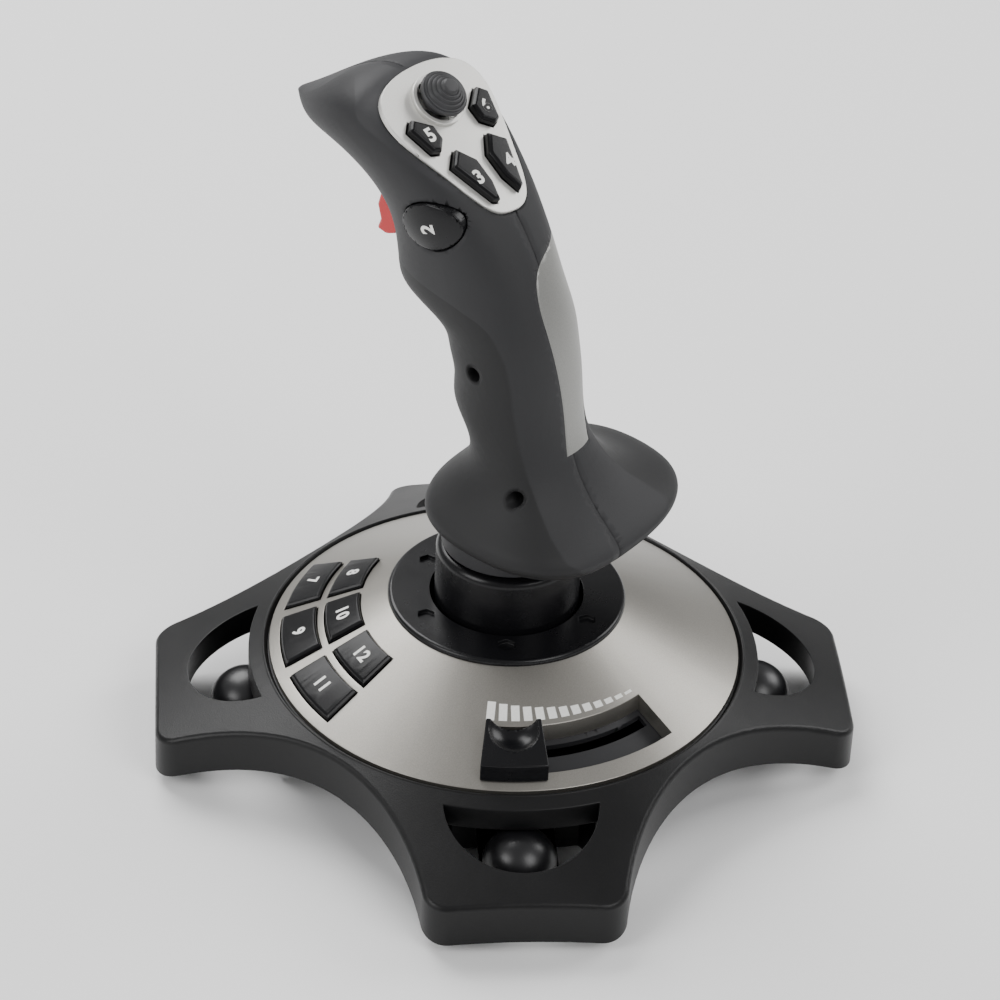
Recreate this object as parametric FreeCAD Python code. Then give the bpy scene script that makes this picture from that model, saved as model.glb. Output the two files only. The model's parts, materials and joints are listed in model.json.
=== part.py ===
import FreeCAD, Part
import math
import os

# Desktop flight joystick: a four-armed base on suction cups, a two-axis gimbal, a twisting
# right-handed grip with a hand rest, an arc throttle and twelve buttons.
# Millimetres. +Z up, +Y forward (the way the beak of the grip points), +X to the right.
# The origin is on the table, under the middle of the base.

os.makedirs("parts", exist_ok=True)

# ---------------------------------------------------------------- driving dimensions
# fits
RUN = 0.06                 # radial clearance of a turning pin or shaft
KEY_GAP = 0.4              # gap round a key in its window
PART_GAP = 0.3             # gap between parts that move past each other
SEAM = 0.1                 # half of the seam between the two handle shells

# base housing
ARM_ANGLES = (45.0, 135.0, 225.0, 315.0)
ARM_REACH = 118.6          # middle of the base to the flat end of an arm
ARM_CORNER_R = 9.0         # rounded corners of an arm's end
WAIST_R = 85.0             # middle of the base to the hollow side between two arms
WAIST_ARC_R = 96.0         # radius of that hollow side
WALL_FOOT_Z = 3.0          # lower edge of the pocket walls above the table
RIM_H = 15.3               # height of the side wall, whose lower edge follows the arm tops
WALL = 2.4                 # moulded wall
ARM_TOP_R = 84.0           # where the arm tops start, and their height there
ARM_TOP_Z = 35.5
ARM_SLOPE = 0.42           # fall of the arm tops, mm per mm outwards
CREST_FILLET = 2.2         # rounding of the top outer edge
WELL_CENTRE = 82.0         # centre of the half-round finger hole in an arm
WELL_R = 25.5
WELL_INNER = 87.0          # radius of the finger hole's inner edge
WELL_BACK = 68.0           # back wall of the pocket below the plate
WELL_ROOF_Z = 26.0
WELL_WALL = 1.8
WELL_RIM_H = 10.5          # depth of the wall round a finger hole, below the arm top

# silver top plate, a shallow cone
PLATE_R = 80.0
PLATE_EDGE_Z = 36.6
PLATE_HOLE_R = 38.4
PLATE_SLOPE = 0.509
PLATE_T = 1.6
BEAD_R = 81.6              # raised bead of the housing round the plate
BEAD_W = 0.9
GROOVE = 0.5

# collar ring and stick sleeve
PIVOT_Z = 59.0             # both gimbal axes cross here
COLLAR_R = 40.2
COLLAR_TOP_Z = 59.0
SLEEVE_R = 24.5
SLEEVE_WALL = 2.2
SLEEVE_TOP_Z = 79.5
SLEEVE_SKIRT = 9.0         # depth of the round skirt below the pivot
SLEEVE_GAP = 1.5           # gap between sleeve and collar, room for the full tilt
HEX_COUNT = 6
HEX_R = 31.0
HEX_SIZE = 3.1             # centre to corner
HEX_DEPTH = 1.4
HEX_START = 101.0

# gimbal
SHAFT_R = 5.5
TUBE_R = 9.0               # upper shaft, which the handle turns on
TUBE_START = 8.5           # height of its lower end above the pivot
TUBE_TOP_Z = 112.0
TUBE_BORE_R = 3.0
RING_RO = 11.5
RING_RI = 8.3
RING_H = 9.0
PIN_R = 2.0
UPRIGHT_X = 12.0
UPRIGHT_T = 3.5
UPRIGHT_W = 11.0
PEDESTAL_R = 19.0
PEDESTAL_TOP_Z = 40.5
PRESSURE_PLATE_T = 2.0
SPRING_R = 14.6
SPRING_WIRE_R = 0.8
SPRING_PITCH = 3.6

# bottom cover and feet
COVER_FLOOR_R = 68.0       # the bowl-shaped cover: floor and upper rim
COVER_R = 78.6
COVER_Z = 0.8
COVER_T = 2.2
COVER_RIM_Z = 20.5
BOSS_R = 64.5
BOSS_ANGLES = (0.0, 82.0, 180.0, 278.0)
BOSS_OD = 8.0
BOSS_MEET_Z = 7.0
CUP_ALONG = 87.5
CUP_SKIRT_R = 15.0
CUP_NECK_R = 5.0
CUP_HEAD_R = 12.2
CUP_TOP_Z = 25.0
CUP_BROW_Z = 15.6
SHELF_Z = 8.6
SHELF_T = 2.4

# grommet where the lead enters, at the front of the bowl
INLET_R = 5.4
INLET_BORE_R = 2.2
INLET_Y0 = 69.0
INLET_Y1 = 78.0
INLET_Z = 10.5

# base keys 7 to 12
KEY_ANGLE = 136.5          # direction of the middle pair
KEY_PITCH = 24.5           # degrees between pairs
KEY_SPAN = 20.0            # degrees covered by a key
KEY_ROWS = ((64.2, 76.0), (49.6, 61.2))
KEY_PROUD = 1.8
KEY_TRAVEL = 1.2
KEY_BOARD_Z = 28.2
BOARD_T = 1.6
SWITCH_H = 3.2

# throttle
SLOT_RI = 59.5
SLOT_RO = 74.5
SLOT_A0 = -145.0
SLOT_A1 = -91.0
SLOT_DEPTH = 6.5
SLOT_WALL = 1.4
STEM_SLIT_RI = 61.2
STEM_SLIT_RO = 65.0
KNOB_RI = 62.4
KNOB_RO = 77.6
KNOB_SPAN = 16.6
KNOB_A = -136.6
KNOB_H = 7.0

# handle: hand-rest slab, then sections up to the nose of the head
REST_BOTTOM_Z = 92.5
SHELL = 2.4
STRIP_T = 1.5

# head panel plane: it rises forwards at this angle through a point on the mid-plane
PANEL_TILT = 35.7
PANEL_Y = 10.6
PANEL_Z = 210.9
PANEL_T = 1.8
PANEL_PROUD = 0.25
PAD_PROUD = 3.0
HAT_V = 35.0
HAT_RING_R = 9.2
HAT_BOOT_R = 6.4

# twist bearing
TWIST_COLLAR_R = 22.8
NECK_R = 18.0              # the collar's neck, in the floor of the hand rest
BUSH_R = 13.0
BUSH_TOP_Z = 107.0

# trigger
TRIGGER_PIN_Y = 48.5
TRIGGER_PIN_Z = 193.5
TRIGGER_PIN_R = 1.5
TRIGGER_ANGLE = 10.0


# ---------------------------------------------------------------- helpers
def vec(x, y, z):
    return FreeCAD.Vector(x, y, z)


def cyl(r, z0, z1, x=0.0, y=0.0):
    return Part.makeCylinder(r, z1 - z0, vec(x, y, z0))


def rod(r, start, end):
    axis = end - start
    return Part.makeCylinder(r, axis.Length, start, axis)


def tube(ro, ri, z0, z1, x=0.0, y=0.0):
    return cyl(ro, z0, z1, x, y).cut(cyl(ri, z0 - 1, z1 + 1, x, y))


def box(x0, x1, y0, y1, z0, z1):
    return Part.makeBox(x1 - x0, y1 - y0, z1 - z0, vec(x0, y0, z0))


def turned(shape, degrees, centre=None, axis=None):
    copy = shape.copy()
    copy.rotate(centre or vec(0, 0, 0), axis or vec(0, 0, 1), degrees)
    return copy


def moved(shape, x, y, z):
    copy = shape.copy()
    copy.translate(vec(x, y, z))
    return copy


def polar(r, degrees, z=0.0):
    a = math.radians(degrees)
    return vec(r * math.cos(a), r * math.sin(a), z)


def revolved(points):
    """A solid of revolution about Z from (radius, height) corners."""
    corners = [vec(r, 0, z) for r, z in points]
    face = Part.Face(Part.makePolygon(corners + corners[:1]))
    return face.revolve(vec(0, 0, 0), vec(0, 0, 1), 360)


def prism(points, direction):
    face = Part.Face(Part.makePolygon(points + points[:1]))
    return face.extrude(direction)


def sector(ri, ro, a0, a1, z0, z1):
    """An upright block between two radii and two directions."""
    mid = (a0 + a1) / 2
    outer = Part.Arc(polar(ro, a0, z0), polar(ro, mid, z0), polar(ro, a1, z0)).toShape()
    side1 = Part.makeLine(polar(ro, a1, z0), polar(ri, a1, z0))
    inner = Part.Arc(polar(ri, a1, z0), polar(ri, mid, z0), polar(ri, a0, z0)).toShape()
    side0 = Part.makeLine(polar(ri, a0, z0), polar(ro, a0, z0))
    face = Part.Face(Part.Wire([outer, side1, inner, side0]))
    return face.extrude(vec(0, 0, z1 - z0))


def fuse(first, *others):
    return first.multiFuse(list(others)).removeSplitter() if others else first


def group(shapes):
    return Part.makeCompound(shapes)


def rounded(solid, radius, keep):
    """Fillet the edges whose middle point and direction pass the test."""
    edges = []
    for edge in solid.Edges:
        mid = edge.valueAt((edge.FirstParameter + edge.LastParameter) / 2)
        if keep(edge, mid):
            edges.append(edge)
    return solid.makeFillet(radius, edges) if edges else solid


def helix_spring(radius, wire_r, pitch, z0, z1):
    """A coil of half-turns, each a flat arc tipped so that its ends meet the next ones."""
    count = int((z1 - z0) / (pitch / 2))
    rise = (z1 - z0) / count
    tip = math.degrees(math.atan2(rise / 2, radius))
    half = Part.makeTorus(math.hypot(radius, rise / 2), wire_r, vec(0, 0, 0), vec(0, 0, 1), -180, 180, 180)
    half = turned(half, tip, vec(0, 0, 0), vec(0, 1, 0))
    halves = [moved(turned(half, 180 * k), 0, 0, z0 + rise * (k + 0.5)) for k in range(count)]
    return fuse(*halves)


parts = {}


# ---------------------------------------------------------------- base shapes
def plate_z(r):
    """Height of the silver plate's face at a radius."""
    return PLATE_EDGE_Z + (PLATE_R - r) * PLATE_SLOPE


# vertical thickness of the conical plate, and the flat seat of the collar inside its hole
PLATE_DROP = PLATE_T / math.cos(math.atan(PLATE_SLOPE))
COLLAR_SEAT_Z = plate_z(PLATE_HOLE_R) - PLATE_DROP


def arm_z(r):
    return ARM_TOP_Z - (r - ARM_TOP_R) * ARM_SLOPE


def below_plate(drop):
    """Everything under the plate's cone, lowered by drop."""
    far = PLATE_R + 60
    return revolved([(0, -20), (far, -20), (far, plate_z(far) - drop), (0, plate_z(0) - drop)])


def star_prism(inset, z0, z1):
    """The four-armed outline as an upright block, drawn inset from the real one."""
    reach = ARM_REACH - inset
    block = box(-reach, reach, -reach, reach, z0, z1)
    block.rotate(vec(0, 0, 0), vec(0, 0, 1), 45)
    for k in range(4):
        middle = polar(WAIST_R + WAIST_ARC_R, 90 * k)
        block = block.cut(cyl(WAIST_ARC_R + inset, z0 - 1, z1 + 1, middle.x, middle.y))
    corner = max(ARM_CORNER_R - inset, 1.0)

    def arm_corner(edge, mid):
        upright = abs(edge.BoundBox.ZLength - (z1 - z0)) < 0.01
        return upright and edge.BoundBox.XLength < 0.01 and mid.Length > WAIST_R + 10
    return rounded(block, corner, arm_corner)


def base_cap(drop):
    """Everything under the housing's top surface, lowered by drop."""
    far = ARM_REACH + 30
    bead_foot = BEAD_R + BEAD_W
    groove_r = PLATE_R + GROOVE
    bead_z = plate_z(groove_r) + 0.2
    points = [(0, -20), (far, -20), (far, arm_z(far) - drop), (bead_foot, arm_z(bead_foot) - drop)]
    if drop == 0:
        points += [(BEAD_R + BEAD_W * 0.6, bead_z), (BEAD_R, bead_z)]
    points += [(groove_r, plate_z(groove_r) - PLATE_DROP - drop),
               (PLATE_HOLE_R, COLLAR_SEAT_Z - drop), (0, COLLAR_SEAT_Z - drop)]
    return revolved(points)


def below_rim():
    """Everything under the lower edge of the side wall."""
    far = ARM_REACH + 30
    near = COVER_FLOOR_R
    return revolved([(near, -20), (far, -20), (far, arm_z(far) - RIM_H), (near, arm_z(near) - RIM_H)])


def below_well_rim():
    """Everything outside the round body that is under the walls of the finger holes."""
    far = ARM_REACH + 30
    near = WELL_CENTRE
    foot = arm_z(near) - WELL_RIM_H
    return revolved([(near, -20), (far, -20), (far, arm_z(far) - WELL_RIM_H), (near, foot)])


def well_low(grow):
    """The pocket for a suction cup under an arm, for the arm along +X."""
    shape = cyl(WELL_R + grow, -10, WELL_ROOF_Z + grow, WELL_CENTRE, 0)
    return shape.common(box(WELL_BACK - grow, 200, -60, 60, -20, 60))


def well_high(grow):
    """The half-round finger hole up through the arm, for the arm along +X."""
    shape = cyl(WELL_R + grow, -10, 60, WELL_CENTRE, 0)
    return shape.cut(cyl(WELL_INNER - grow, -20, 70))


def key_window(row, k, grow, z0=0.0):
    ri, ro = KEY_ROWS[row]
    mid = KEY_ANGLE + KEY_PITCH * k
    spread = math.degrees(grow / ((ri + ro) / 2))
    return sector(ri - grow, ro + grow, mid - KEY_SPAN / 2 - spread, mid + KEY_SPAN / 2 + spread, z0, 90)


def slot_block(grow, z0=0.0, z1=90.0):
    spread = math.degrees(grow / ((SLOT_RI + SLOT_RO) / 2))
    return sector(SLOT_RI - grow, SLOT_RO + grow, SLOT_A0 - spread, SLOT_A1 + spread, z0, z1)


KEYS = [("button_7", 0, -1), ("button_8", 1, -1), ("button_9", 0, 0),
        ("button_10", 1, 0), ("button_11", 0, 1), ("button_12", 1, 1)]
OPENING_R = SLEEVE_R + SLEEVE_GAP + 1.2
ROOF_CLEAR_Z = WELL_ROOF_Z + WELL_WALL + 0.2


def base_housing():
    outer = star_prism(0, WALL_FOOT_Z, 90).common(base_cap(0))

    def crest(edge, mid):
        r = math.hypot(mid.x, mid.y)
        return r > WAIST_R - 0.5 and abs(mid.z - arm_z(r)) < 0.05
    outer = rounded(outer, CREST_FILLET, crest)
    hollow = star_prism(WALL, -20, 90).common(base_cap(WALL))
    shell = outer.cut(below_rim()).cut(hollow)
    walls = []
    voids = []
    tongues = []
    for angle in ARM_ANGLES:
        wall = well_low(WELL_WALL).fuse(well_high(WELL_WALL))
        walls.append(turned(wall, angle).common(outer).cut(below_well_rim()))
        voids.append(turned(well_low(0), angle))
        voids.append(turned(well_high(0), angle))
        tongue = box(WELL_BACK - 1, CUP_ALONG, -13, 13, SHELF_Z, SHELF_Z + SHELF_T)
        tongue = tongue.fuse(cyl(13, SHELF_Z, SHELF_Z + SHELF_T, CUP_ALONG, 0))
        tongue = tongue.cut(box(CUP_ALONG, 120, -CUP_NECK_R, CUP_NECK_R, 0, 30))
        tongue = tongue.cut(cyl(CUP_NECK_R + 0.05, 0, 30, CUP_ALONG, 0))
        tongues.append(turned(tongue, angle))
    posts = []
    for angle in BOSS_ANGLES:
        at = polar(BOSS_R, angle)
        post = cyl(BOSS_OD / 2, BOSS_MEET_Z, 60, at.x, at.y).common(base_cap(WALL / 2))
        posts.append(post.cut(cyl(1.3, 0, 25, at.x, at.y)))
    shell = shell.multiFuse(walls + posts)
    shell = shell.cut(group(voids))
    shell = shell.multiFuse(tongues)
    cuts = [cyl(OPENING_R, 20, 90), slot_block(SLOT_WALL + KEY_GAP, ROOF_CLEAR_Z)]
    cuts += [key_window(row, k, KEY_GAP + 0.6, ROOF_CLEAR_Z) for _, row, k in KEYS]
    return shell.cut(group(cuts))


def top_plate():
    ring = revolved([(PLATE_HOLE_R, plate_z(PLATE_HOLE_R)), (PLATE_R, plate_z(PLATE_R)),
                     (PLATE_R, plate_z(PLATE_R) - PLATE_DROP), (PLATE_HOLE_R, COLLAR_SEAT_Z)])
    cuts = [slot_block(0)] + [key_window(row, k, KEY_GAP) for _, row, k in KEYS]
    ring = ring.cut(group(cuts))
    lip = slot_block(SLOT_WALL).cut(slot_block(0)).common(below_plate(0.02)).cut(below_plate(SLOT_DEPTH))
    return ring.fuse(lip).removeSplitter()


def collar_ring():
    ri = SLEEVE_R + SLEEVE_GAP
    neck = PLATE_HOLE_R - 0.2
    ring = revolved([(ri, COLLAR_SEAT_Z), (neck, COLLAR_SEAT_Z), (neck, plate_z(neck) + 0.02),
                     (COLLAR_R, plate_z(COLLAR_R) + 0.02), (COLLAR_R, COLLAR_TOP_Z), (ri, COLLAR_TOP_Z)])

    def lip(edge, mid):
        return abs(mid.z - COLLAR_TOP_Z) < 0.01 and math.hypot(mid.x, mid.y) > COLLAR_R - 1
    ring = rounded(ring, 1.4, lip)
    for k in range(HEX_COUNT):
        at = polar(HEX_R, HEX_START + k * 360 / HEX_COUNT, COLLAR_TOP_Z - HEX_DEPTH)
        corners = [at + polar(HEX_SIZE, HEX_START + 60 * j) for j in range(6)]
        ring = ring.cut(prism(corners, vec(0, 0, 5)))
    return ring


def throttle_tray():
    """Black channel under the slot: a floor parallel to the plate, with the stem's slit."""
    grow = SLOT_WALL
    floor = slot_block(grow).common(below_plate(SLOT_DEPTH)).cut(below_plate(SLOT_DEPTH + 1.8))
    spread = math.degrees(1.2 / STEM_SLIT_RI)
    slit = sector(STEM_SLIT_RI, STEM_SLIT_RO, SLOT_A0 + spread, SLOT_A1 - spread, 0, 90)
    return floor.cut(slit)


def throttle_sensor():
    """Arc-shaped slide sensor board on the underside of the tray."""
    top = ROOF_CLEAR_Z + BOARD_T
    return sector(SLOT_RI - 1, SLOT_RO - 3, SLOT_A0, SLOT_A1, ROOF_CLEAR_Z, top)


def throttle():
    half = KNOB_SPAN / 2
    body = sector(KNOB_RI, KNOB_RO, KNOB_A - half, KNOB_A + half, 0, 90)
    body = body.common(below_plate(-KNOB_H)).cut(below_plate(-0.5))
    saddle_r = 11.0
    centre = polar((KNOB_RI + KNOB_RO) / 2 - 1.5, KNOB_A)
    centre.z = plate_z((KNOB_RI + KNOB_RO) / 2 - 1.5) + KNOB_H + saddle_r - 3.2
    body = body.cut(Part.makeSphere(saddle_r, centre))
    stem_r0 = STEM_SLIT_RI + PART_GAP
    stem_r1 = STEM_SLIT_RO - PART_GAP
    neck = sector(stem_r0, stem_r1, KNOB_A - 4, KNOB_A + 4, 0, 90)
    neck = neck.common(below_plate(SLOT_DEPTH - 1)).cut(below_plate(SLOT_DEPTH + 2.6))
    plug = sector(KNOB_RI, SLOT_RO - 1, KNOB_A - 7, KNOB_A + 7, 0, 90)
    plug = plug.common(below_plate(-0.8)).cut(below_plate(SLOT_DEPTH - 0.6))
    knob = fuse(body, plug)
    carrier = sector(SLOT_RI, SLOT_RO - 3, KNOB_A - 6, KNOB_A + 6, 0, 90)
    carrier = carrier.common(below_plate(SLOT_DEPTH + 2.2)).cut(below_plate(SLOT_DEPTH + 4.4))
    neck = neck.cut(knob).fuse(carrier)
    return knob, neck.removeSplitter()


def base_key(row, k):
    """A key whose top follows the plate, with a flange below the plate and a stem."""
    ri, ro = KEY_ROWS[row]
    mid = KEY_ANGLE + KEY_PITCH * k
    cap = key_window(row, k, 0).common(below_plate(-KEY_PROUD)).cut(below_plate(5.0))
    rim = [e for e in cap.Edges if min(abs(v.Z - plate_z(math.hypot(v.X, v.Y)) - KEY_PROUD)
                                       for v in e.Vertexes) < 0.02
           and max(abs(v.Z - plate_z(math.hypot(v.X, v.Y)) - KEY_PROUD) for v in e.Vertexes) < 0.02]
    cap = cap.makeChamfer(0.9, rim)
    flange = key_window(row, k, 0.7).common(below_plate(PLATE_DROP + 0.15)).cut(below_plate(4.0))
    at = polar((ri + ro) / 2, mid)
    stem = cyl(2.4, KEY_BOARD_Z + BOARD_T + SWITCH_H + KEY_TRAVEL * 0.1, plate_z(ro) - 3, at.x, at.y)
    return fuse(cap, flange, stem)


def key_board():
    r0 = KEY_ROWS[1][0] - 3
    r1 = KEY_ROWS[0][1] + 1
    half = KEY_PITCH * 1.5
    return sector(r0, r1, KEY_ANGLE - half, KEY_ANGLE + half, KEY_BOARD_Z, KEY_BOARD_Z + BOARD_T)


def key_switches():
    solids = []
    for _, row, k in KEYS:
        ri, ro = KEY_ROWS[row]
        at = polar((ri + ro) / 2, KEY_ANGLE + KEY_PITCH * k)
        z0 = KEY_BOARD_Z + BOARD_T
        body = box(-3, 3, -3, 3, z0, z0 + SWITCH_H - KEY_TRAVEL)
        solids.append(moved(body, at.x, at.y, 0))
    return group(solids)


def bottom_cover():
    """A shallow bowl that closes the base, cut away round the four suction-cup pockets."""
    floor_top = COVER_Z + COVER_T
    bowl = revolved([(0, COVER_Z), (COVER_FLOOR_R, COVER_Z), (COVER_FLOOR_R + 2, COVER_Z + 1.4),
                     (COVER_R, COVER_RIM_Z), (COVER_R - COVER_T, COVER_RIM_Z),
                     (COVER_FLOOR_R, floor_top), (0, floor_top)])
    bowl = bowl.cut(group([turned(well_low(WELL_WALL + PART_GAP), angle) for angle in ARM_ANGLES]))
    posts = []
    holes = [inlet_rod(INLET_R, 2)]
    for angle in BOSS_ANGLES:
        at = polar(BOSS_R, angle)
        posts.append(cyl(BOSS_OD / 2, COVER_Z, BOSS_MEET_Z, at.x, at.y))
        holes.append(cyl(1.7, -5, 20, at.x, at.y))
        holes.append(cyl(3.2, -5, COVER_Z + 2.6, at.x, at.y))
    for at in cradle_spots():
        holes.append(cyl(1.7, -5, 20, at.x, at.y))
        holes.append(cyl(3.0, -5, COVER_Z + 1.2, at.x, at.y))
    return fuse(bowl, *posts).cut(group(holes))


def inlet_rod(radius, grow=0.0):
    return rod(radius, vec(0, INLET_Y0 - grow, INLET_Z), vec(0, INLET_Y1 + grow, INLET_Z))


def cradle_spots():
    return [polar(PEDESTAL_R + 5, 45 + 90 * k) for k in range(4)]


def screw(head_r, head_h, shank_r, length, at):
    """A screw that points up, with its head's lower face at the given point."""
    head = cyl(head_r, 0, head_h)
    shank = cyl(shank_r, head_h, length)
    slot = box(-head_r * 0.7, head_r * 0.7, -0.35, 0.35, -1, 0.8)
    cross = turned(slot, 90)
    body = head.fuse(shank).cut(group([slot, cross]))
    return moved(body, at.x, at.y, at.z)


def suction_cup():
    """A cup along +X: hollow skirt, neck held by the housing's keyhole, domed head."""
    neck_top = SHELF_Z + SHELF_T + 0.1
    neck_foot = SHELF_Z - 0.1
    skirt = revolved([(0, 3.2), (6, 2.6), (CUP_SKIRT_R - 2.0, 0.0), (CUP_SKIRT_R, 0.0),
                      (CUP_SKIRT_R - 0.4, 0.9), (8.6, 5.6), (7.0, neck_foot), (0, neck_foot)])
    neck = cyl(CUP_NECK_R, neck_foot, neck_top)
    head = revolved([(0, neck_top), (CUP_HEAD_R - 1.0, neck_top), (CUP_HEAD_R, neck_top + 1.2),
                     (CUP_HEAD_R, CUP_BROW_Z), (0, CUP_BROW_Z)])
    dome_h = CUP_TOP_Z - CUP_BROW_Z
    dome_r = (CUP_HEAD_R ** 2 + dome_h ** 2) / (2 * dome_h)
    dome = Part.makeSphere(dome_r, vec(0, 0, CUP_TOP_Z - dome_r)).common(cyl(CUP_HEAD_R, CUP_BROW_Z, 30))
    return moved(fuse(skirt, neck, head, dome), CUP_ALONG, 0, 0)


def gimbal_cradle():
    foot_z = COVER_Z + COVER_T
    flange = cyl(PEDESTAL_R + 9, foot_z, foot_z + 3)
    wall = cyl(PEDESTAL_R, foot_z, PEDESTAL_TOP_Z)
    bore = cyl(PEDESTAL_R - 2.6, foot_z - 1, PEDESTAL_TOP_Z - 2.6)
    top = PIVOT_Z + UPRIGHT_T + 2.0
    uprights = []
    for side in (-1, 1):
        x0, x1 = sorted((side * UPRIGHT_X, side * (UPRIGHT_X + UPRIGHT_T)))
        uprights.append(box(x0, x1, -UPRIGHT_W / 2, UPRIGHT_W / 2, PEDESTAL_TOP_Z - 1, top))
    cradle = fuse(flange.fuse(wall).cut(bore), *uprights)
    cuts = [cyl(PEDESTAL_R * 0.45, PEDESTAL_TOP_Z - 5, PEDESTAL_TOP_Z + 1)]
    cuts.append(rod(PIN_R + RUN, vec(-30, 0, PIVOT_Z), vec(30, 0, PIVOT_Z)))
    cuts.append(box(-6, 6, 0, 40, foot_z + 6, foot_z + 20))
    for at in cradle_spots():
        cuts.append(cyl(1.3, 0, 20, at.x, at.y))
    return cradle.cut(group(cuts))


def gimbal_ring():
    ring = tube(RING_RO, RING_RI, PIVOT_Z - RING_H / 2, PIVOT_Z + RING_H / 2)
    ring = ring.cut(rod(PIN_R, vec(-20, 0, PIVOT_Z), vec(20, 0, PIVOT_Z)))
    return ring.cut(rod(PIN_R + RUN, vec(0, -20, PIVOT_Z), vec(0, 20, PIVOT_Z)))


def pitch_pins():
    end = UPRIGHT_X + UPRIGHT_T + 0.8
    pins = []
    for side in (-1, 1):
        near = vec(side * (RING_RI + 0.4), 0, PIVOT_Z)
        pins.append(rod(PIN_R, near, vec(side * end, 0, PIVOT_Z)))
    return group(pins)


def roll_pin():
    reach = RING_RO - 0.4
    return rod(PIN_R, vec(0, -reach, PIVOT_Z), vec(0, reach, PIVOT_Z))


FLANGE_TOP_Z = SLEEVE_TOP_Z - 2.4
SLEEVE_HEAD_Z = SLEEVE_TOP_Z - 1.1      # seat of the sleeve screws' heads
MAGNET_DROP = 13.0


def sleeve_screw_spots():
    return [polar(SPRING_R - 1, 30 + 120 * k) for k in range(3)]


def stick_shaft():
    lower = cyl(SHAFT_R, PIVOT_Z - MAGNET_DROP, PIVOT_Z + TUBE_START + 1)
    upper = cyl(TUBE_R, PIVOT_Z + TUBE_START, TUBE_TOP_Z)
    flange = cyl(SPRING_R + 3, FLANGE_TOP_Z - 2.6, FLANGE_TOP_Z)
    shaft = fuse(lower, upper, flange)
    cuts = [cyl(TUBE_BORE_R, PIVOT_Z + 6, TUBE_TOP_Z + 1)]
    cuts.append(cyl(3.0, PIVOT_Z - MAGNET_DROP - 1, PIVOT_Z - MAGNET_DROP + 4))
    cuts.append(rod(PIN_R, vec(0, -20, PIVOT_Z), vec(0, 20, PIVOT_Z)))
    for at in sleeve_screw_spots():
        cuts.append(cyl(1.2, FLANGE_TOP_Z - 4, FLANGE_TOP_Z + 1, at.x, at.y))
    return shaft.cut(group(cuts))


def stick_sleeve():
    skirt = Part.makeSphere(SLEEVE_R, vec(0, 0, PIVOT_Z)).common(cyl(40, PIVOT_Z - SLEEVE_SKIRT, PIVOT_Z))
    outer = skirt.fuse(cyl(SLEEVE_R, PIVOT_Z, SLEEVE_TOP_Z))
    outer = rounded(outer, 3.0, lambda edge, mid: abs(mid.z - SLEEVE_TOP_Z) < 0.01)
    ri = SLEEVE_R - SLEEVE_WALL
    void = Part.makeSphere(ri, vec(0, 0, PIVOT_Z)).common(cyl(40, 0, PIVOT_Z))
    void = void.fuse(cyl(ri, PIVOT_Z, FLANGE_TOP_Z))
    sleeve = outer.cut(void).cut(cyl(TUBE_R, 60, 90))
    holes = []
    for at in sleeve_screw_spots():
        holes.append(cyl(1.4, 60, 90, at.x, at.y))
        holes.append(cyl(2.4, SLEEVE_HEAD_Z, 90, at.x, at.y))
    return sleeve.cut(group(holes))


# ---------------------------------------------------------------- handle shapes
# Each section joins a point on the back profile to one on the front profile, both (y, z) on
# the mid-plane. Then: half widths left and right, where along it the section is widest (0 is
# the back), and squareness of the back and front halves (2 is an ellipse).
SECTIONS = [
    ((-43.5, 92.5), (21.5, 92.5), 29.5, 50.5, 0.52, 2.5, 2.4),
    ((-46.8, 95.4), (24.6, 95.4), 33.2, 54.9, 0.52, 2.5, 2.4),
    ((-47.5, 99.5), (25.5, 99.5), 34.2, 56.0, 0.52, 2.5, 2.4),
    ((-41.5, 104.5), (23.5, 104.0), 29.0, 42.0, 0.52, 2.4, 2.3),
    ((-34.5, 111.0), (17.5, 110.5), 23.8, 30.5, 0.51, 2.2, 2.2),
    ((-28.0, 119.0), (11.5, 118.5), 20.0, 22.8, 0.50, 2.2, 2.1),
    ((-23.8, 128.5), (13.5, 127.0), 18.6, 19.2, 0.50, 2.2, 2.1),
    ((-22.0, 139.0), (22.5, 136.5), 19.4, 19.4, 0.50, 2.2, 2.1),
    ((-20.5, 150.0), (19.5, 146.5), 19.8, 19.8, 0.50, 2.2, 2.1),
    ((-18.5, 160.0), (24.0, 155.0), 20.0, 20.0, 0.48, 2.2, 2.1),
    ((-15.5, 170.5), (24.5, 163.0), 20.5, 20.5, 0.45, 2.2, 2.1),
    ((-11.0, 181.5), (46.0, 168.0), 20.8, 20.8, 0.42, 2.2, 2.3),
    ((-5.0, 193.0), (46.5, 176.5), 21.0, 21.0, 0.40, 2.2, 2.3),
    ((3.5, 205.0), (49.0, 186.0), 21.3, 21.3, 0.38, 2.4, 2.0),
    ((13.0, 214.6), (52.5, 193.5), 22.0, 22.0, 0.36, 2.8, 1.9),
    ((27.0, 225.2), (57.5, 199.5), 24.2, 24.2, 0.33, 3.3, 1.8),
    ((41.0, 235.0), (64.0, 203.8), 25.6, 25.6, 0.34, 3.4, 1.8),
    ((54.0, 239.6), (71.0, 206.4), 24.4, 24.4, 0.42, 2.8, 1.8),
    ((66.5, 235.8), (77.5, 208.2), 20.6, 20.6, 0.48, 2.4, 1.9),
    ((80.0, 227.0), (84.0, 210.0), 15.2, 15.2, 0.54, 2.2, 2.0),
    ((90.0, 219.2), (90.0, 212.4), 9.0, 9.0, 0.56, 2.0, 2.0),
    ((97.2, 214.6), (96.0, 213.4), 2.8, 2.8, 0.50, 2.0, 2.0),
]
SECTION_POINTS = 28
FLOOR_SECTIONS = 2         # sections in the lower edge of the hand rest
FLARE_SECTIONS = 5         # the lowest sections, where the surface leans most
GRIP_TOP_SECTION = 19      # the last section that is hollow


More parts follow.
